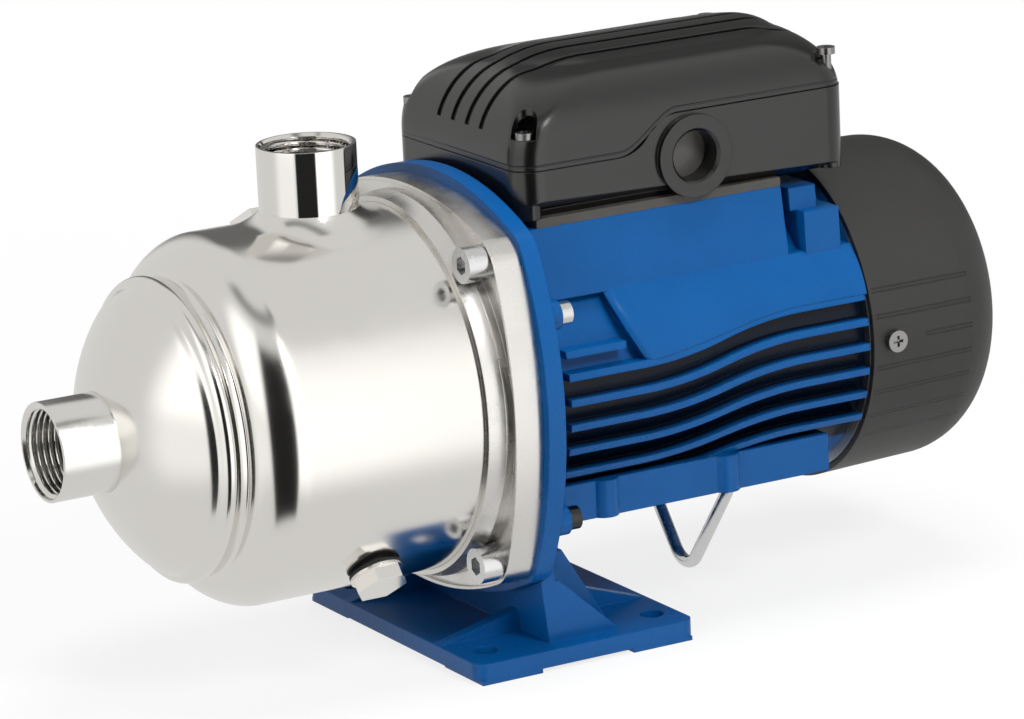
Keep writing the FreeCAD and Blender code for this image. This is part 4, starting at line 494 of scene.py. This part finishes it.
def cover_plastic(name, colour):
    """The fan cover's matte plastic, with pairs of fine engraved lines along each side in painted shade.

    The pairs lie at these angles about the shaft, in degrees over the horizontal, and the one at
    the screw starts behind it.
    """
    plastic = Finish(name, colour, 0.5, 0.0, Specular_IOR_Level=0.7)
    x, y, z = plastic.split()
    side = plastic.math("ABSOLUTE", y)
    rise = plastic.math("SUBTRACT", z, AXIS)
    degrees = plastic.math("MULTIPLY", plastic.math("ARCTAN2", rise, side), 180 / math.pi)
    fine = plastic.noise(2600.0, 3.0, 0.6)
    groove, end, half_pair = 0.0, 0.1715, 0.62
    for middle in (17.9, 8.9, 0.0, -9.0, -18.0, -27.5, -37.0):
        start = 0.1280 if middle else 0.1500
        away = plastic.math("ABSOLUTE", plastic.math("SUBTRACT", degrees, middle))
        offset = plastic.math("ABSOLUTE", plastic.math("SUBTRACT", away, half_pair))
        line = plastic.product(plastic.ramp(offset, 0.16, 0.34, 1.0, 0.0),
                               plastic.ramp(x, start, start + 0.0006),
                               plastic.ramp(x, end - 0.0006, end, 1.0, 0.0))
        groove = plastic.math("MAXIMUM", groove, line)
    broad = plastic.noise(40.0, 3.0, 0.5)
    base = plastic.blend(broad, shade(colour, 0.85), shade(colour, 1.15))
    # Painted shade: the colour darkens in the grooves, on top of their bump.
    plastic.colour(plastic.blend(groove, base, shade(colour, 0.35)))
    plastic.roughness(plastic.ramp(fine, 0.2, 0.8, 0.42, 0.60))
    plastic.relief([(groove, -0.0004), (broad, 2.0e-5), (fine, 2.2e-5)], 0.0006)
    return plastic.material


def plain(name, colour, roughness, metallic=0.0, grain=800.0, depth=1.0e-5, edge=0.0002):
    """A quiet finish for inner pieces: slight colour change and a fine grain."""
    made = Finish(name, colour, roughness, metallic)
    clouds = made.noise(120.0, 4.0, 0.6)
    made.colour(made.blend(clouds, shade(colour, 0.82), shade(colour, 1.12)))
    made.roughness(made.ramp(clouds, 0.3, 0.7, roughness * 0.85, min(1.0, roughness * 1.2)))
    made.relief([(made.noise(grain, 3.0, 0.6), depth)], edge)
    return made.material


def laminated(name, colour):
    """Stacked electrical sheet: thin lines across the shaft every half millimetre."""
    core = Finish(name, colour, 0.45, 0.9)
    stack = core.math("SINE", core.math("MULTIPLY", core.split()[0], TURN / 0.0005))
    core.colour(core.blend(core.noise(90.0, 4.0), shade(colour, 0.7), shade(colour, 1.2)))
    core.relief([(stack, 3.0e-5)], 0.0002)
    return core.material


def wound(name, colour):
    """Varnished copper ends: strands that run round the shaft."""
    coil = Finish(name, colour, 0.3, 0.6, Coat_Weight=0.4, Coat_Roughness=0.2)
    x, y, z = coil.split()
    radius = coil.reach(y, coil.math("SUBTRACT", z, AXIS))
    waves = [coil.math("SINE", coil.math("MULTIPLY", place, TURN / 0.0011)) for place in (x, radius)]
    strands = coil.product(*waves)
    coil.colour(coil.blend(coil.noise(500.0, 3.0), shade(colour, 0.6), shade(colour, 1.3)))
    coil.relief([(strands, 2.0e-4)], 0.0002)
    return coil.material


FINISHES = {}


def finish(slot):
    """The finish of a slot of the record, or of a piece with its own, made once."""
    look = bpy.context.scene.pump_look
    recipes = {
        "polished_steel": lambda: polished_steel("polished_steel", look.polish),
        "satin_steel": lambda: satin_steel("satin_steel"),
        "zinc_steel": lambda: zinc_plate("zinc_steel"),
        "plated_screw": lambda: zinc_plate("plated_screw", (0.34, 0.335, 0.33), 0.3),
        "plug_steel": lambda: polished_steel("plug_steel", 0.12, edge=0.0003),
        "blue_paint": lambda: enamel("blue_paint", tuple(look.paint)),
        "bare_casting": lambda: plain("bare_casting", (0.45, 0.455, 0.46), 0.45, 1.0, 700.0, 6e-5),
        "core_steel": lambda: laminated("core_steel", (0.20, 0.20, 0.21)),
        "copper_wire": lambda: wound("copper_wire", (0.50, 0.19, 0.08)),
        "bearing_steel": lambda: zinc_plate("bearing_steel", (0.68, 0.68, 0.69), 0.12),
        "black_rubber": lambda: plain("black_rubber", (0.018, 0.018, 0.018), 0.7, 0.0, 2500.0, 1.5e-5),
        "grey_gasket": lambda: plain("grey_gasket", (0.075, 0.07, 0.064), 0.75, 0.0, 1800.0, 3e-5),
        "seal_ceramic": lambda: plain("seal_ceramic", (0.70, 0.66, 0.58), 0.25),
        "seal_carbon": lambda: plain("seal_carbon", (0.03, 0.03, 0.033), 0.35, 0.2),
        "box_plastic": lambda: moulded("box_plastic", tuple(look.box), 0.21, 2600.0, 1.6e-5, gloss=0.75),
        "lid_plastic": lambda: moulded("lid_plastic", tuple(look.box), 0.21, 2600.0, 1.6e-5, gloss=0.75,
                                       line=lip_line),
        "blank_plastic": lambda: moulded("blank_plastic", (0.075, 0.072, 0.068), 0.3, 2600.0, 1.6e-5),
        "housing_zinc_shaded_below": lambda: zinc_plate("housing_zinc_shaded_below", shaded_below=0.08),
        "cover_plastic": lambda: cover_plastic("cover_plastic", tuple(look.cover)),
        "fan_plastic": lambda: moulded("fan_plastic", (0.016, 0.016, 0.016), 0.5, 2600.0, 2e-5),
        "terminal_plastic": lambda: moulded("terminal_plastic", (0.08, 0.08, 0.078), 0.5, 2600.0, 2e-5),
        "capacitor_plastic": lambda: moulded("capacitor_plastic", (0.68, 0.68, 0.66), 0.35, 1800.0, 1e-5),
    }
    if slot not in FINISHES:
        FINISHES[slot] = recipes[slot]()
    return FINISHES[slot]


def dress(*names, material=None):
    """Gives CAD nodes the finish of their slot, or another one."""
    for name in names:
        frame["nodes"][name].material_slots[0].material = material or finish(SLOTS[name])


# Sizes and colours that a user would change


class PumpLook(bpy.types.PropertyGroup):
    """Colours and polish of the outer finishes."""

    paint: bpy.props.FloatVectorProperty(
        name="Paint", description="Colour of the motor and the foot", subtype="COLOR", size=3, min=0, max=1,
        default=(0.0, 0.078, 0.27))
    box: bpy.props.FloatVectorProperty(
        name="Box", description="Colour of the terminal box", subtype="COLOR", size=3, min=0, max=1,
        default=(0.0042, 0.004, 0.0038))
    cover: bpy.props.FloatVectorProperty(
        name="Fan cover", description="Colour of the fan cover", subtype="COLOR", size=3, min=0, max=1,
        default=(0.0125, 0.012, 0.0115))
    polish: bpy.props.FloatProperty(
        name="Polish", description="Roughness of the polished casing", min=0.02, max=0.6, default=0.16)


class PumpForm(bpy.types.PropertyGroup):
    """Sizes of the new surfaces."""

    wall: bpy.props.FloatProperty(
        name="Casing wall", description="Thickness of the drawn casing", unit="LENGTH", default=0.0015)
    fillet: bpy.props.FloatProperty(
        name="Draw radius", description="Softness of the bends in the drawn casing", unit="LENGTH",
        default=0.0009)
    collar: bpy.props.FloatProperty(
        name="Collar", description="Width of the flare round the discharge port", unit="LENGTH",
        default=0.011)
    pitch: bpy.props.FloatProperty(
        name="Thread pitch", description="Pitch of the port threads", unit="LENGTH", default=0.002309)
    groove: bpy.props.FloatProperty(
        name="Thread depth", description="Depth of the port threads", unit="LENGTH", default=0.00148)


class PumpStudio(bpy.types.PropertyGroup):
    """Camera and light."""

    lens: bpy.props.FloatProperty(
        name="Lens", description="Focal length of the camera in millimetres", min=20, max=400, default=191.73)
    lamps: bpy.props.FloatProperty(
        name="Lamps", description="Strength of the soft lamps", min=0, max=10, default=1.0)
    sky: bpy.props.FloatProperty(
        name="Surroundings", description="Light from the white room on matte surfaces", min=0, max=2,
        default=0.28)


# Casing and ports


def casing_line():
    """The outside of the casing from the suction port to its rear edge, as (x, radius) points.

    The dome with its tighter rim, the bead, the neck and the shoulder are arcs whose angles, in
    degrees, are those of the outward direction over the shaft's own.
    """
    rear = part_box("pump_casing")[1].x
    dome = bends((-0.15807, 0.01804), [(0.0709, 165.26, 136.0), (0.011, 136.0, 113.0)])
    bead = arc((-0.13314, 0.05193), 0.0034, 166.0, 38.0, 34)
    neck = [(-0.1305, 0.0540), (-0.1268, 0.0540)]
    shoulder = bends((-0.1268, 0.05459),
                     [(0.0119, 171.0, 135.0), (0.023, 135.0, 105.0), (0.0119, 105.0, 90.0)])
    return np.concatenate([dome, bead, neck, shoulder, [(rear, CASING)]])


class PUMP_OT_casing(bpy.types.Operator):
    """Drawn casing: its profile turned about the shaft, and the flare round the discharge port"""

    bl_idname = "pump.casing"
    bl_label = "Casing"

    def execute(self, context):
        form = context.scene.pump_form
        outside = softened(casing_line(), 0.0001, form.fillet)
        outside = thinned(outside, 0.0022, 2.2)
        ways = np.gradient(outside, axis=0)
        ways /= np.linalg.norm(ways, axis=1)[:, None]
        inside = outside - form.wall * np.stack([-ways[:, 1], ways[:, 0]], 1)
        inside = inside[::-2]
        shell = turned(np.concatenate([outside, inside]), 288, (0, 0, AXIS), SHAFT)
        steel = finish("polished_steel")
        mouth = rod(0.03, 0.09, 0.0172, (DISCHARGE, 0, AXIS), UP)
        piece("casing_shell", [(shell, True, True)], steel, "pump", ["pump_casing"],
              cutters=[([mouth], None)])
        self.collar(form, steel)
        return {"FINISHED"}

    def collar(self, form, steel):
        """The flare: the casing's own height plus a rise that fades with the distance from the port.

        At a distance t from 0 at the port to 1 at the flare's edge the rise is (1 - t) ** 2.3 of what
        lifts the casing to the level of the weld. Its edge sinks a hair into the casing, and three
        hidden rows close it underneath.
        """
        columns, weld, level = 192, 0.0179, 0.0714
        angles = np.arange(columns) * TURN / columns
        steps = np.linspace(0, 1, 26)[:, None] ** 1.3
        distance = weld + steps * form.collar + 0 * angles
        casing = np.sqrt(CASING**2 - (distance * np.sin(angles)) ** 2)
        rise = (level - casing[:1]) * (1 - steps) ** 2.3
        sink = 0.000015 * np.clip((steps - 0.7) / 0.3, 0, 1) ** 2
        top = casing + rise - sink
        hidden = distance[:1] - 0.0005
        distance = np.concatenate([distance, distance[-1:], hidden, hidden])
        height = np.concatenate([top, casing[-1:] - 0.0008, casing[:1] - 0.0012, top[:1] - 0.0003])
        points = [DISCHARGE + distance * np.cos(angles), distance * np.sin(angles), AXIS + height]
        points = np.stack(points, -1)
        piece("drawn_collar", [(points, True, True)], steel, "pump")


def threaded(foot, form, mouth=0.0, outer=SLEEVE, minor=THREAD, columns=160):
    """Rows of a sleeve with a female thread, as (along, radius) arrays, from its mouth to its foot.

    The thread is a wave along the bore whose phase turns once round the sleeve for each pitch: the
    radius is the minor one plus the depth times a triangle of (along / pitch - angle / turn).
    """
    angles = np.arange(columns) / columns
    outside = np.array([(foot, outer), (mouth + 0.0004, outer), (mouth + 0.0001, outer - 0.0001),
                        (mouth, outer - 0.0004), (mouth, minor + form.groove + 0.0003)])
    along = np.linspace(mouth + 0.0012, foot - 0.0035, int((foot - mouth) / 0.00023))
    phase = along[:, None] / form.pitch - angles[None, :]
    ridge = np.abs((phase % 1.0) * 2 - 1)
    ridge = np.clip(ridge * 1.25 - 0.1, 0, 1)
    fade = np.clip((foot - 0.0055 - along) / 0.002, 0, 1)
    thread = minor + form.groove * ridge * fade[:, None]
    blank = np.zeros(columns)
    rows_along = np.concatenate([outside[:, 0, None] + blank, along[:, None] + blank, [[foot] * columns]])
    rows_radius = np.concatenate([outside[:, 1, None] + blank, thread, [[minor] * columns]])
    return rows_along, rows_radius


class PUMP_OT_ports(bpy.types.Operator):
    """Suction and discharge sleeves with their internal threads"""

    bl_idname = "pump.ports"
    bl_label = "Ports"

    def execute(self, context):
        form = context.scene.pump_form
        low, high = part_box("suction_port")
        sleeve = round_axis(threaded(high.x - low.x, form), (low.x, 0, AXIS), SHAFT)
        bright = turned_steel("turned_steel", 0.17, (0, 0, AXIS), "X")
        piece("suction_sleeve", [(sleeve, True, True)], bright, "pump", ["suction_port"])
        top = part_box("discharge_port")[1].z
        inside_casing = AXIS + 0.0640
        sleeve = round_axis(threaded(top - inside_casing, form), (DISCHARGE, 0, top), -UP)
        mirror = polished_steel("mirror_steel", 0.045, 0.35, 0.0002)
        piece("discharge_sleeve", [(sleeve, True, True)], mirror, "pump", ["discharge_port"])
        return {"FINISHED"}


class PUMP_OT_flange(bpy.types.Operator):
    """Casing flange"""

    bl_idname = "pump.flange"
    bl_label = "Flange"

    def execute(self, context):
        dress("casing_flange", "casing_o_ring", "seal_plate")
        return {"FINISHED"}


class PUMP_OT_plugs(bpy.types.Operator):
    """Drain and fill plugs with their seals"""

    bl_idname = "pump.plugs"
    bl_label = "Plugs"

    def execute(self, context):
        dress("drain_plug", "fill_plug", "drain_plug_seal", "fill_plug_seal")
        return {"FINISHED"}


class PUMP_OT_screws(bpy.types.Operator):
    """Flange screws, washers and the small screws of the motor"""

    bl_idname = "pump.screws"
    bl_label = "Screws"

    def execute(self, context):
        dress("flange_screws", "lock_washers", "shield_screws", "foot_screws", "fan_cover_screws",
              "lid_screws", "box_fixing_screws")
        # The housing screws get painted shade: their plate turns near black below a height.
        dress("housing_screws", material=finish("housing_zinc_shaded_below"))
        return {"FINISHED"}


class PUMP_OT_motor(bpy.types.Operator):
    """Painted castings: adapter, finned housing and foot"""

    bl_idname = "pump.motor"
    bl_label = "Motor and foot"

    def execute(self, context):
        dress("motor_adapter", "motor_housing", "foot", "wire_stand", "rear_end_shield")
        self.shelves()
        return {"FINISHED"}

    def shelves(self):
        """The cast shelf on each side, from the panel's foot down to the uppermost fin's edge.

        Its outside is a cylinder about the shaft a hair wider than the fins, between the fin's wavy
        edge and the panel's foot, and its front end leans back as it goes down.
        """
        across = np.linspace(0, 1, 97)[None, :]
        down = np.linspace(0, 1, 17)[:, None]
        front = 0.0205 + 0.0105 * down**1.5
        rear, buried = 0.1262, 0.0562
        x = front + (rear - front) * across
        low = fin_line(x) - 0.0006
        high = PANEL_FOOT + 0.0012
        rise = high + (low - high) * down
        outside = 0.06258 - 0.0010 * np.clip(1 - across * 40, 0, 1) - 0.0018 * (1 - down) ** 3
        sheets = []
        for side in (-1, 1):
            layers = []
            for radius in (outside, buried + 0 * outside):
                rise_here = np.minimum(rise, radius - 0.002)
                layers.append(np.stack([x, side * np.sqrt(radius**2 - rise_here**2), AXIS + rise_here], -1))
            top, under = layers
            around = np.concatenate([under[:1], top, under[-1:], under[::-1][1:-1]])
            ends = [end.mean(0, keepdims=True) + 0 * end for end in (around[:, :1], around[:, -1:])]
            sheets.append((np.concatenate([ends[0], around, ends[1]], 1), True, False))
        piece("side_shelves", sheets, finish("blue_paint"), "pump", crease=30.0)


class PUMP_OT_fan_cover(bpy.types.Operator):
    """Fan cover and fan"""

    bl_idname = "pump.fan_cover"
    bl_label = "Fan cover"

    def execute(self, context):
        dress("fan_cover", "fan")
        return {"FINISHED"}


def lid_levels(inset):
    """Level lines of the lid from its foot to its crest, as closed rows of points.

    At each height the lid is a rounded rectangle. Its pump end follows a nose of two arcs, its fan
    end one arc, and its sides an arc and then the low crown; its corners grow rounder on the way up.
    The nose's place at a depth below the crest is found by running along the two arcs.
    """
    low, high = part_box("terminal_box_lid")
    crest = high.z - inset
    front, rear = low.x + inset, high.x - inset
    half = high.y - inset
    steps = np.linspace(0, 1, 64)
    depth = (crest - 0.172) * (1 - np.sin(steps * math.pi / 2) ** 1.6)
    nose, sweep, knee = 0.029 - inset, 0.064 - inset, math.radians(25)
    sweep_drop = sweep * (1 - math.cos(knee))
    on_sweep = sweep * (math.sin(knee) - np.sqrt(np.clip(1 - (1 - depth / sweep) ** 2, 0, 1)))
    lower = np.clip(math.cos(knee) - (depth - sweep_drop) / nose, 0, 1)
    on_nose = nose * (1 - np.sqrt(np.clip(1 - lower**2, 0, 1)))
    front_inset = np.where(depth < sweep_drop, nose * (1 - math.sin(knee)) + on_sweep, on_nose)
    tail = 0.018 - inset
    tail_inset = tail - np.sqrt(np.clip(tail**2 - np.clip(tail - depth, 0, tail) ** 2, 0, None))
    drop, side = 0.0042, 0.021 - inset
    flat = half - side
    crown = (flat**2 + drop**2) / (2 * drop)
    on_crown = np.sqrt(np.clip(crown**2 - (crown - depth) ** 2, 0, None))
    on_side = flat + np.sqrt(np.clip(side**2 - np.clip(side - (depth - drop), 0, side) ** 2, 0, None))
    reach = np.where(depth < drop, np.minimum(on_crown, flat), on_side)
    rows = []
    for level in range(len(steps)):
        x0, x1 = front + front_inset[level], rear - tail_inset[level]
        y1 = max(reach[level], 1e-5)
        corner = min(0.010 - inset + 0.9 * (half - y1), y1, (x1 - x0) / 2)
        rows.append(rounded_loop(x0, x1, y1, corner, crest - depth[level]))
    return np.stack(rows)


def rounded_loop(x0, x1, y1, corner, height):
    """A rounded rectangle at one height, with as many points on each stretch whatever its size."""
    quarter = np.linspace(0, math.pi / 2, 25)[:-1]
    sides = np.linspace(0, 1, 21)[:-1], np.linspace(0, 1, 33)[:-1]
    x = (x1 - corner, x1 - corner, x0 + corner, x0 + corner)
    y = (corner - y1, y1 - corner, y1 - corner, corner - y1)
    middles = np.stack([x, y], 1)
    parts = []
    for k in range(4):
        turn = (k - 1) * math.pi / 2 + quarter
        parts.append(middles[k] + corner * np.stack([np.cos(turn), np.sin(turn)], 1))
        way = corner * np.array([math.cos(k * math.pi / 2), math.sin(k * math.pi / 2)])
        parts.append(middles[k] + way + sides[k % 2][:, None] * (middles[(k + 1) % 4] - middles[k]))
    flat = np.concatenate(parts)
    return np.column_stack([flat, np.full(len(flat), height)])


def closed_form(rows):
    """Level rows with a point in the middle of the first and of the last, so that the form is closed."""
    foot = np.broadcast_to(rows[0].mean(0), rows[0].shape)
    crest = np.broadcast_to(rows[-1].mean(0), rows[-1].shape)
    return np.concatenate([foot[None], rows, crest[None]])


def parting_height(x):
    """Height of the seam between lid and base: level, up in an S past the cable entry, and level again."""
    return wave(x, SEAM_WAVE, SEAM_HEIGHT)


class PUMP_OT_box(bpy.types.Operator):
    """Terminal box, its cable entry and what it holds"""

    bl_idname = "pump.box"
    bl_label = "Terminal box"

    def execute(self, context):
        dress("terminal_box_base", "box_seat_gasket", "terminal_block", "capacitor", "capacitor_clamp")
        dress("cable_entry_blank", material=finish("blank_plastic"))
        self.lid()
        return {"FINISHED"}

    def lid(self):
        """The lid: its level lines joined up, fluted, hollow, cut off at the seam, with screw pockets."""
        outside = closed_form(lid_levels(0.0))
        piece("lid_shell", [(outside, False, True)], finish("lid_plastic"), "lid", ["terminal_box_lid"],
              cutters=self.lid_cuts(), crease=32.0)

    def lid_cuts(self):
        """What is taken out of the lid: flutes, pockets, the hollow and all below the seam."""
        low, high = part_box("terminal_box_lid")
        wall, flute, flute_floor, past = 0.0025, 0.003, 0.0014, 0.02
        slabs = []
        ends = low.x - past, high.x + past
        for y in 0.0120 - 0.0102 * np.arange(4):
            loop = [(ends[0], y), (ends[1], y), (ends[1], y + flute), (ends[0], y + flute)]
            slabs.append(closed_form(np.array([[(*corner, z) for corner in loop] for z in (0.1895, 0.24)])))
        x = np.concatenate([[low.x - past], np.linspace(0.025, 0.062, 60), [high.x + past]])
        edge = np.concatenate([np.stack([x, parting_height(x) + 0.00015], 1),
                               np.stack([x[::-1], np.full(len(x), 0.150)], 1)])
        across = high.y + past
        below = np.stack([np.stack([edge[:, 0], np.full(len(edge), y), edge[:, 1]], 1)
                          for y in (-across, across)])
        return [(slabs, closed_form(lid_levels(flute_floor))), (self.pockets(low, high), None),
                ([closed_form(lid_levels(wall))], None), ([closed_form(below)], None)]

    def pockets(self, low, high):
        """Upright holes over the screws, each drawn out past its corner of the lid."""
        inset, radius, out, top = 0.006, 0.0048, 0.0090, 0.24
        angles = np.linspace(0, TURN, 49)[:-1]
        ring = radius * np.stack([np.cos(angles), np.sin(angles)], 1)
        cuts = []
        for x, way in ((low.x + inset, -1), (high.x - inset, 1)):
            seat = parting_height(x) + 0.0112
            for side in (-1, 1):
                corner = np.array([way, side])
                drawn = ring + (ring @ corner > 0)[:, None] * corner * out
                loop = drawn + np.array([x, side * (high.y - inset)])
                cuts.append(closed_form(np.stack([np.column_stack([loop, np.full(len(loop), height)])
                                                  for height in (seat, top)])))
        return cuts


class PUMP_OT_inside(bpy.types.Operator):
    """Stages, impellers, shaft, seal, bearings, rotor and stator"""

    bl_idname = "pump.inside"
    bl_label = "Inner pieces"

    def execute(self, context):
        outer = {"casing_flange", "pump_casing", "suction_port", "discharge_port"}
        inner = ("polished_steel", "core_steel", "copper_wire", "bearing_steel", "seal_ceramic",
                 "seal_carbon")
        dress(*[node for node, slot in SLOTS.items() if slot in inner and node not in outer])
        dress("slinger", "wave_washer")
        return {"FINISHED"}


# Studio


# What polished metal sees in the room, by direction in degrees: azimuth from the front towards the
# fan end and height over the horizon, as (left, right, bottom, top, softness of those four edges)
ROOM_LEVEL = 0.74
SOFT_BOXES = (
    (0.62, (-7, 33, -32, 46, (1.5, 8, 12, 6))),
    (0.30, (-100, -56, -24, 54, (12, 4, 10, 8))),
    (0.35, (-100, -56, 8, 54, (12, 4, 8, 8))),
)
DARK_PLACES = (
    (0.975, (-53, -8, -50, 46, (1.5, 1.5, 4, 6))),
    (0.60, (-125, 45, 64, 74, (8, 8, 4, 4))),
    (0.80, (105, 166, -2, 44, (12, 8, 3, 8))),
)
SMALL_LAMP = 9.0, (3, 15, 40, 52, (1.5, 1.5, 1.5, 1.5))


def box_mask(made, azimuth, elevation, left, right, bottom, top, soft):
    """1 inside a rectangle of directions and 0 outside, with soft edges, all in degrees."""
    return made.product(made.ramp(azimuth, left - soft[0], left + soft[0]),
                        made.ramp(azimuth, right - soft[1], right + soft[1], 1.0, 0.0),
                        made.ramp(elevation, bottom - soft[2], bottom + soft[2]),
                        made.ramp(elevation, top - soft[3], top + soft[3], 1.0, 0.0))


class StudioTree(Finish):
    """The same short calls for the world's nodes."""

    def __init__(self, world):
        self.tree = world.node_tree
        self.tree.nodes.clear()
        self.coordinates = self.add("ShaderNodeTexCoord").outputs["Generated"]


class PUMP_OT_stage(bpy.types.Operator):
    """Pale floor, white room with its soft boxes, lamps and camera"""

    bl_idname = "pump.stage"
    bl_label = "Studio"

    def execute(self, context):
        studio = context.scene.pump_studio
        self.room(context.scene, studio)
        self.floor()
        self.lamps(studio)
        self.camera(context.scene, studio)
        context.scene.view_settings.view_transform = "Standard"
        return {"FINISHED"}

    def room(self, scene, studio):
        """White to the camera; metal sees a pale room, bright soft boxes and the dark gap between them."""
        world = bpy.data.worlds.new("white_room")
        world.use_nodes = True
        scene.world = world
        room = StudioTree(world)
        x, y, z = room.split()
        azimuth = room.math("ARCTAN2", x, room.math("MULTIPLY", y, -1.0))
        azimuth = room.math("MULTIPLY", azimuth, 180 / math.pi)
        elevation = room.math("MULTIPLY", room.math("ARCSINE", z), 180 / math.pi)
        level = ROOM_LEVEL
        for strength, place in SOFT_BOXES:
            mask = box_mask(room, azimuth, elevation, *place)
            level = room.math("ADD", level, room.math("MULTIPLY", mask, strength))
        for share, place in DARK_PLACES:
            mask = room.math("MULTIPLY", box_mask(room, azimuth, elevation, *place), share)
            level = room.math("MULTIPLY", level, room.math("SUBTRACT", 1.0, mask))
        strength, place = SMALL_LAMP
        mask = box_mask(room, azimuth, elevation, *place)
        level = room.math("ADD", level, room.math("MULTIPLY", mask, strength))
        path = room.add("ShaderNodeLightPath")
        mirrored = room.math("MAXIMUM", path.outputs["Is Glossy Ray"], path.outputs["Is Transmission Ray"])
        matte = room.add("ShaderNodeBackground", Color=(1, 1, 1, 1), Strength=studio.sky)
        seen = room.add("ShaderNodeBackground", Color=(1.0, 0.993, 0.98, 1), Strength=level)
        white = room.add("ShaderNodeBackground", Color=(1, 1, 1, 1), Strength=1.0)
        object_sees = room.mix_shaders(mirrored, matte, seen)
        all_see = room.mix_shaders(path.outputs["Is Camera Ray"], object_sees, white)
        room.add("ShaderNodeOutputWorld", Surface=all_see.outputs[0])

    def floor(self):
        """A pale floor that keeps the shadow near the object and turns white further out."""
        mesh = bpy.data.meshes.new("floor")
        half = 12.0
        mesh.from_pydata([(-half, -half, 0), (half, -half, 0), (half, half, 0), (-half, half, 0)], [],
                         [(0, 1, 2, 3)])
        floor = placed("floor", mesh)
        floor.visible_glossy = False
        pale = Finish("pale_floor", (0.84, 0.84, 0.84), 0.7)
        path = pale.add("ShaderNodeLightPath")
        seen = pale.math("MAXIMUM", path.outputs["Is Camera Ray"], path.outputs["Is Glossy Ray"])
        seen = pale.math("MAXIMUM", seen, path.outputs["Is Transmission Ray"])
        away = pale.add("ShaderNodeVectorMath", {"operation": "LENGTH"}, Vector=pale.coordinates)
        share = pale.ramp(away.outputs["Value"], 0.2, 0.9, 0.80, 1.0)
        glow = pale.add("ShaderNodeEmission", Color=(1, 1, 1, 1), Strength=1.0)
        mixed = pale.mix_shaders(pale.math("MULTIPLY", seen, share), pale.shader, glow)
        pale.feed(pale.surface, mixed.outputs[0])
        mesh.materials.append(pale.material)

    def lamps(self, studio):
        """Soft boxes for the matte surfaces, on the sides where the room is bright."""
        for name, place, size, power in (
            ("key", (0.25, -1.25, 1.15), 0.5, 15.0),
            ("left", (-1.5, -0.6, 0.75), 0.8, 9.0),
            ("top", (0.1, -0.1, 1.7), 0.8, 17.0),
            ("back", (0.9, 1.2, 0.8), 0.8, 5.0),
        ):
            light = bpy.data.lights.new(name, "AREA")
            light.shape = "DISK"
            light.size = size
            light.energy = power * studio.lamps
            lamp = placed(name, light)
            lamp.location = place
            lamp.rotation_mode = "QUATERNION"
            lamp.rotation_quaternion = (Vector((0, 0, 0.09)) - Vector(place)).to_track_quat("-Z", "Y")
            lamp.visible_glossy = False
            lamp.visible_camera = False

    def camera(self, scene, studio):
        """The photograph's camera, solved from the round edges and the foot."""
        data = bpy.data.cameras.new("camera")
        data.lens = studio.lens
        data.sensor_width = 36.0
        data.clip_start, data.clip_end = 0.1, 50.0
        camera = placed("camera", data)
        right = Vector((0.86559, -0.49867, -0.04568))
        up = Vector((0.16458, 0.19715, 0.96646))
        back = Vector((-0.47294, -0.84407, 0.25272))
        turn = Matrix((right, up, back)).transposed().to_4x4()
        camera.matrix_world = Matrix.Translation((-0.93385, -1.68383, 0.60190)) @ turn
        scene.camera = camera


class PUMP_PT_panel(bpy.types.Panel):
    """Builds the pump's pieces one by one"""

    bl_idname = "PUMP_PT_panel"
    bl_label = "Pump"
    bl_space_type = "VIEW_3D"
    bl_region_type = "UI"
    bl_category = "Pump"

    def draw(self, context):
        column = self.layout.column()
        for group in (context.scene.pump_look, context.scene.pump_form, context.scene.pump_studio):
            for name in group.__annotations__:
                column.prop(group, name)
        for operator in OPERATORS:
            column.operator(operator.bl_idname)


OPERATORS = (
    PUMP_OT_casing,
    PUMP_OT_ports,
    PUMP_OT_flange,
    PUMP_OT_plugs,
    PUMP_OT_screws,
    PUMP_OT_motor,
    PUMP_OT_fan_cover,
    PUMP_OT_box,
    PUMP_OT_inside,
    PUMP_OT_stage,
)
GROUPS = {"pump_look": PumpLook, "pump_form": PumpForm, "pump_studio": PumpStudio}


def register():
    """Makes the operators, the panel and the scene's settings known."""
    for kind in (*GROUPS.values(), *OPERATORS, PUMP_PT_panel):
        bpy.utils.register_class(kind)
    for name, kind in GROUPS.items():
        setattr(bpy.types.Scene, name, bpy.props.PointerProperty(type=kind))


def unregister():
    """Takes all of them back."""
    for name in GROUPS:
        delattr(bpy.types.Scene, name)
    for kind in (PUMP_PT_panel, *reversed(OPERATORS), *GROUPS.values()):
        bpy.utils.unregister_class(kind)


def main():
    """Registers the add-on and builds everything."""
    register()
    for operator in OPERATORS:
        group, name = operator.bl_idname.split(".")
        if getattr(getattr(bpy.ops, group), name)() != {"FINISHED"}:
            raise RuntimeError(operator.bl_label + " wasn't finished")


if __name__ == "__main__":
    main()
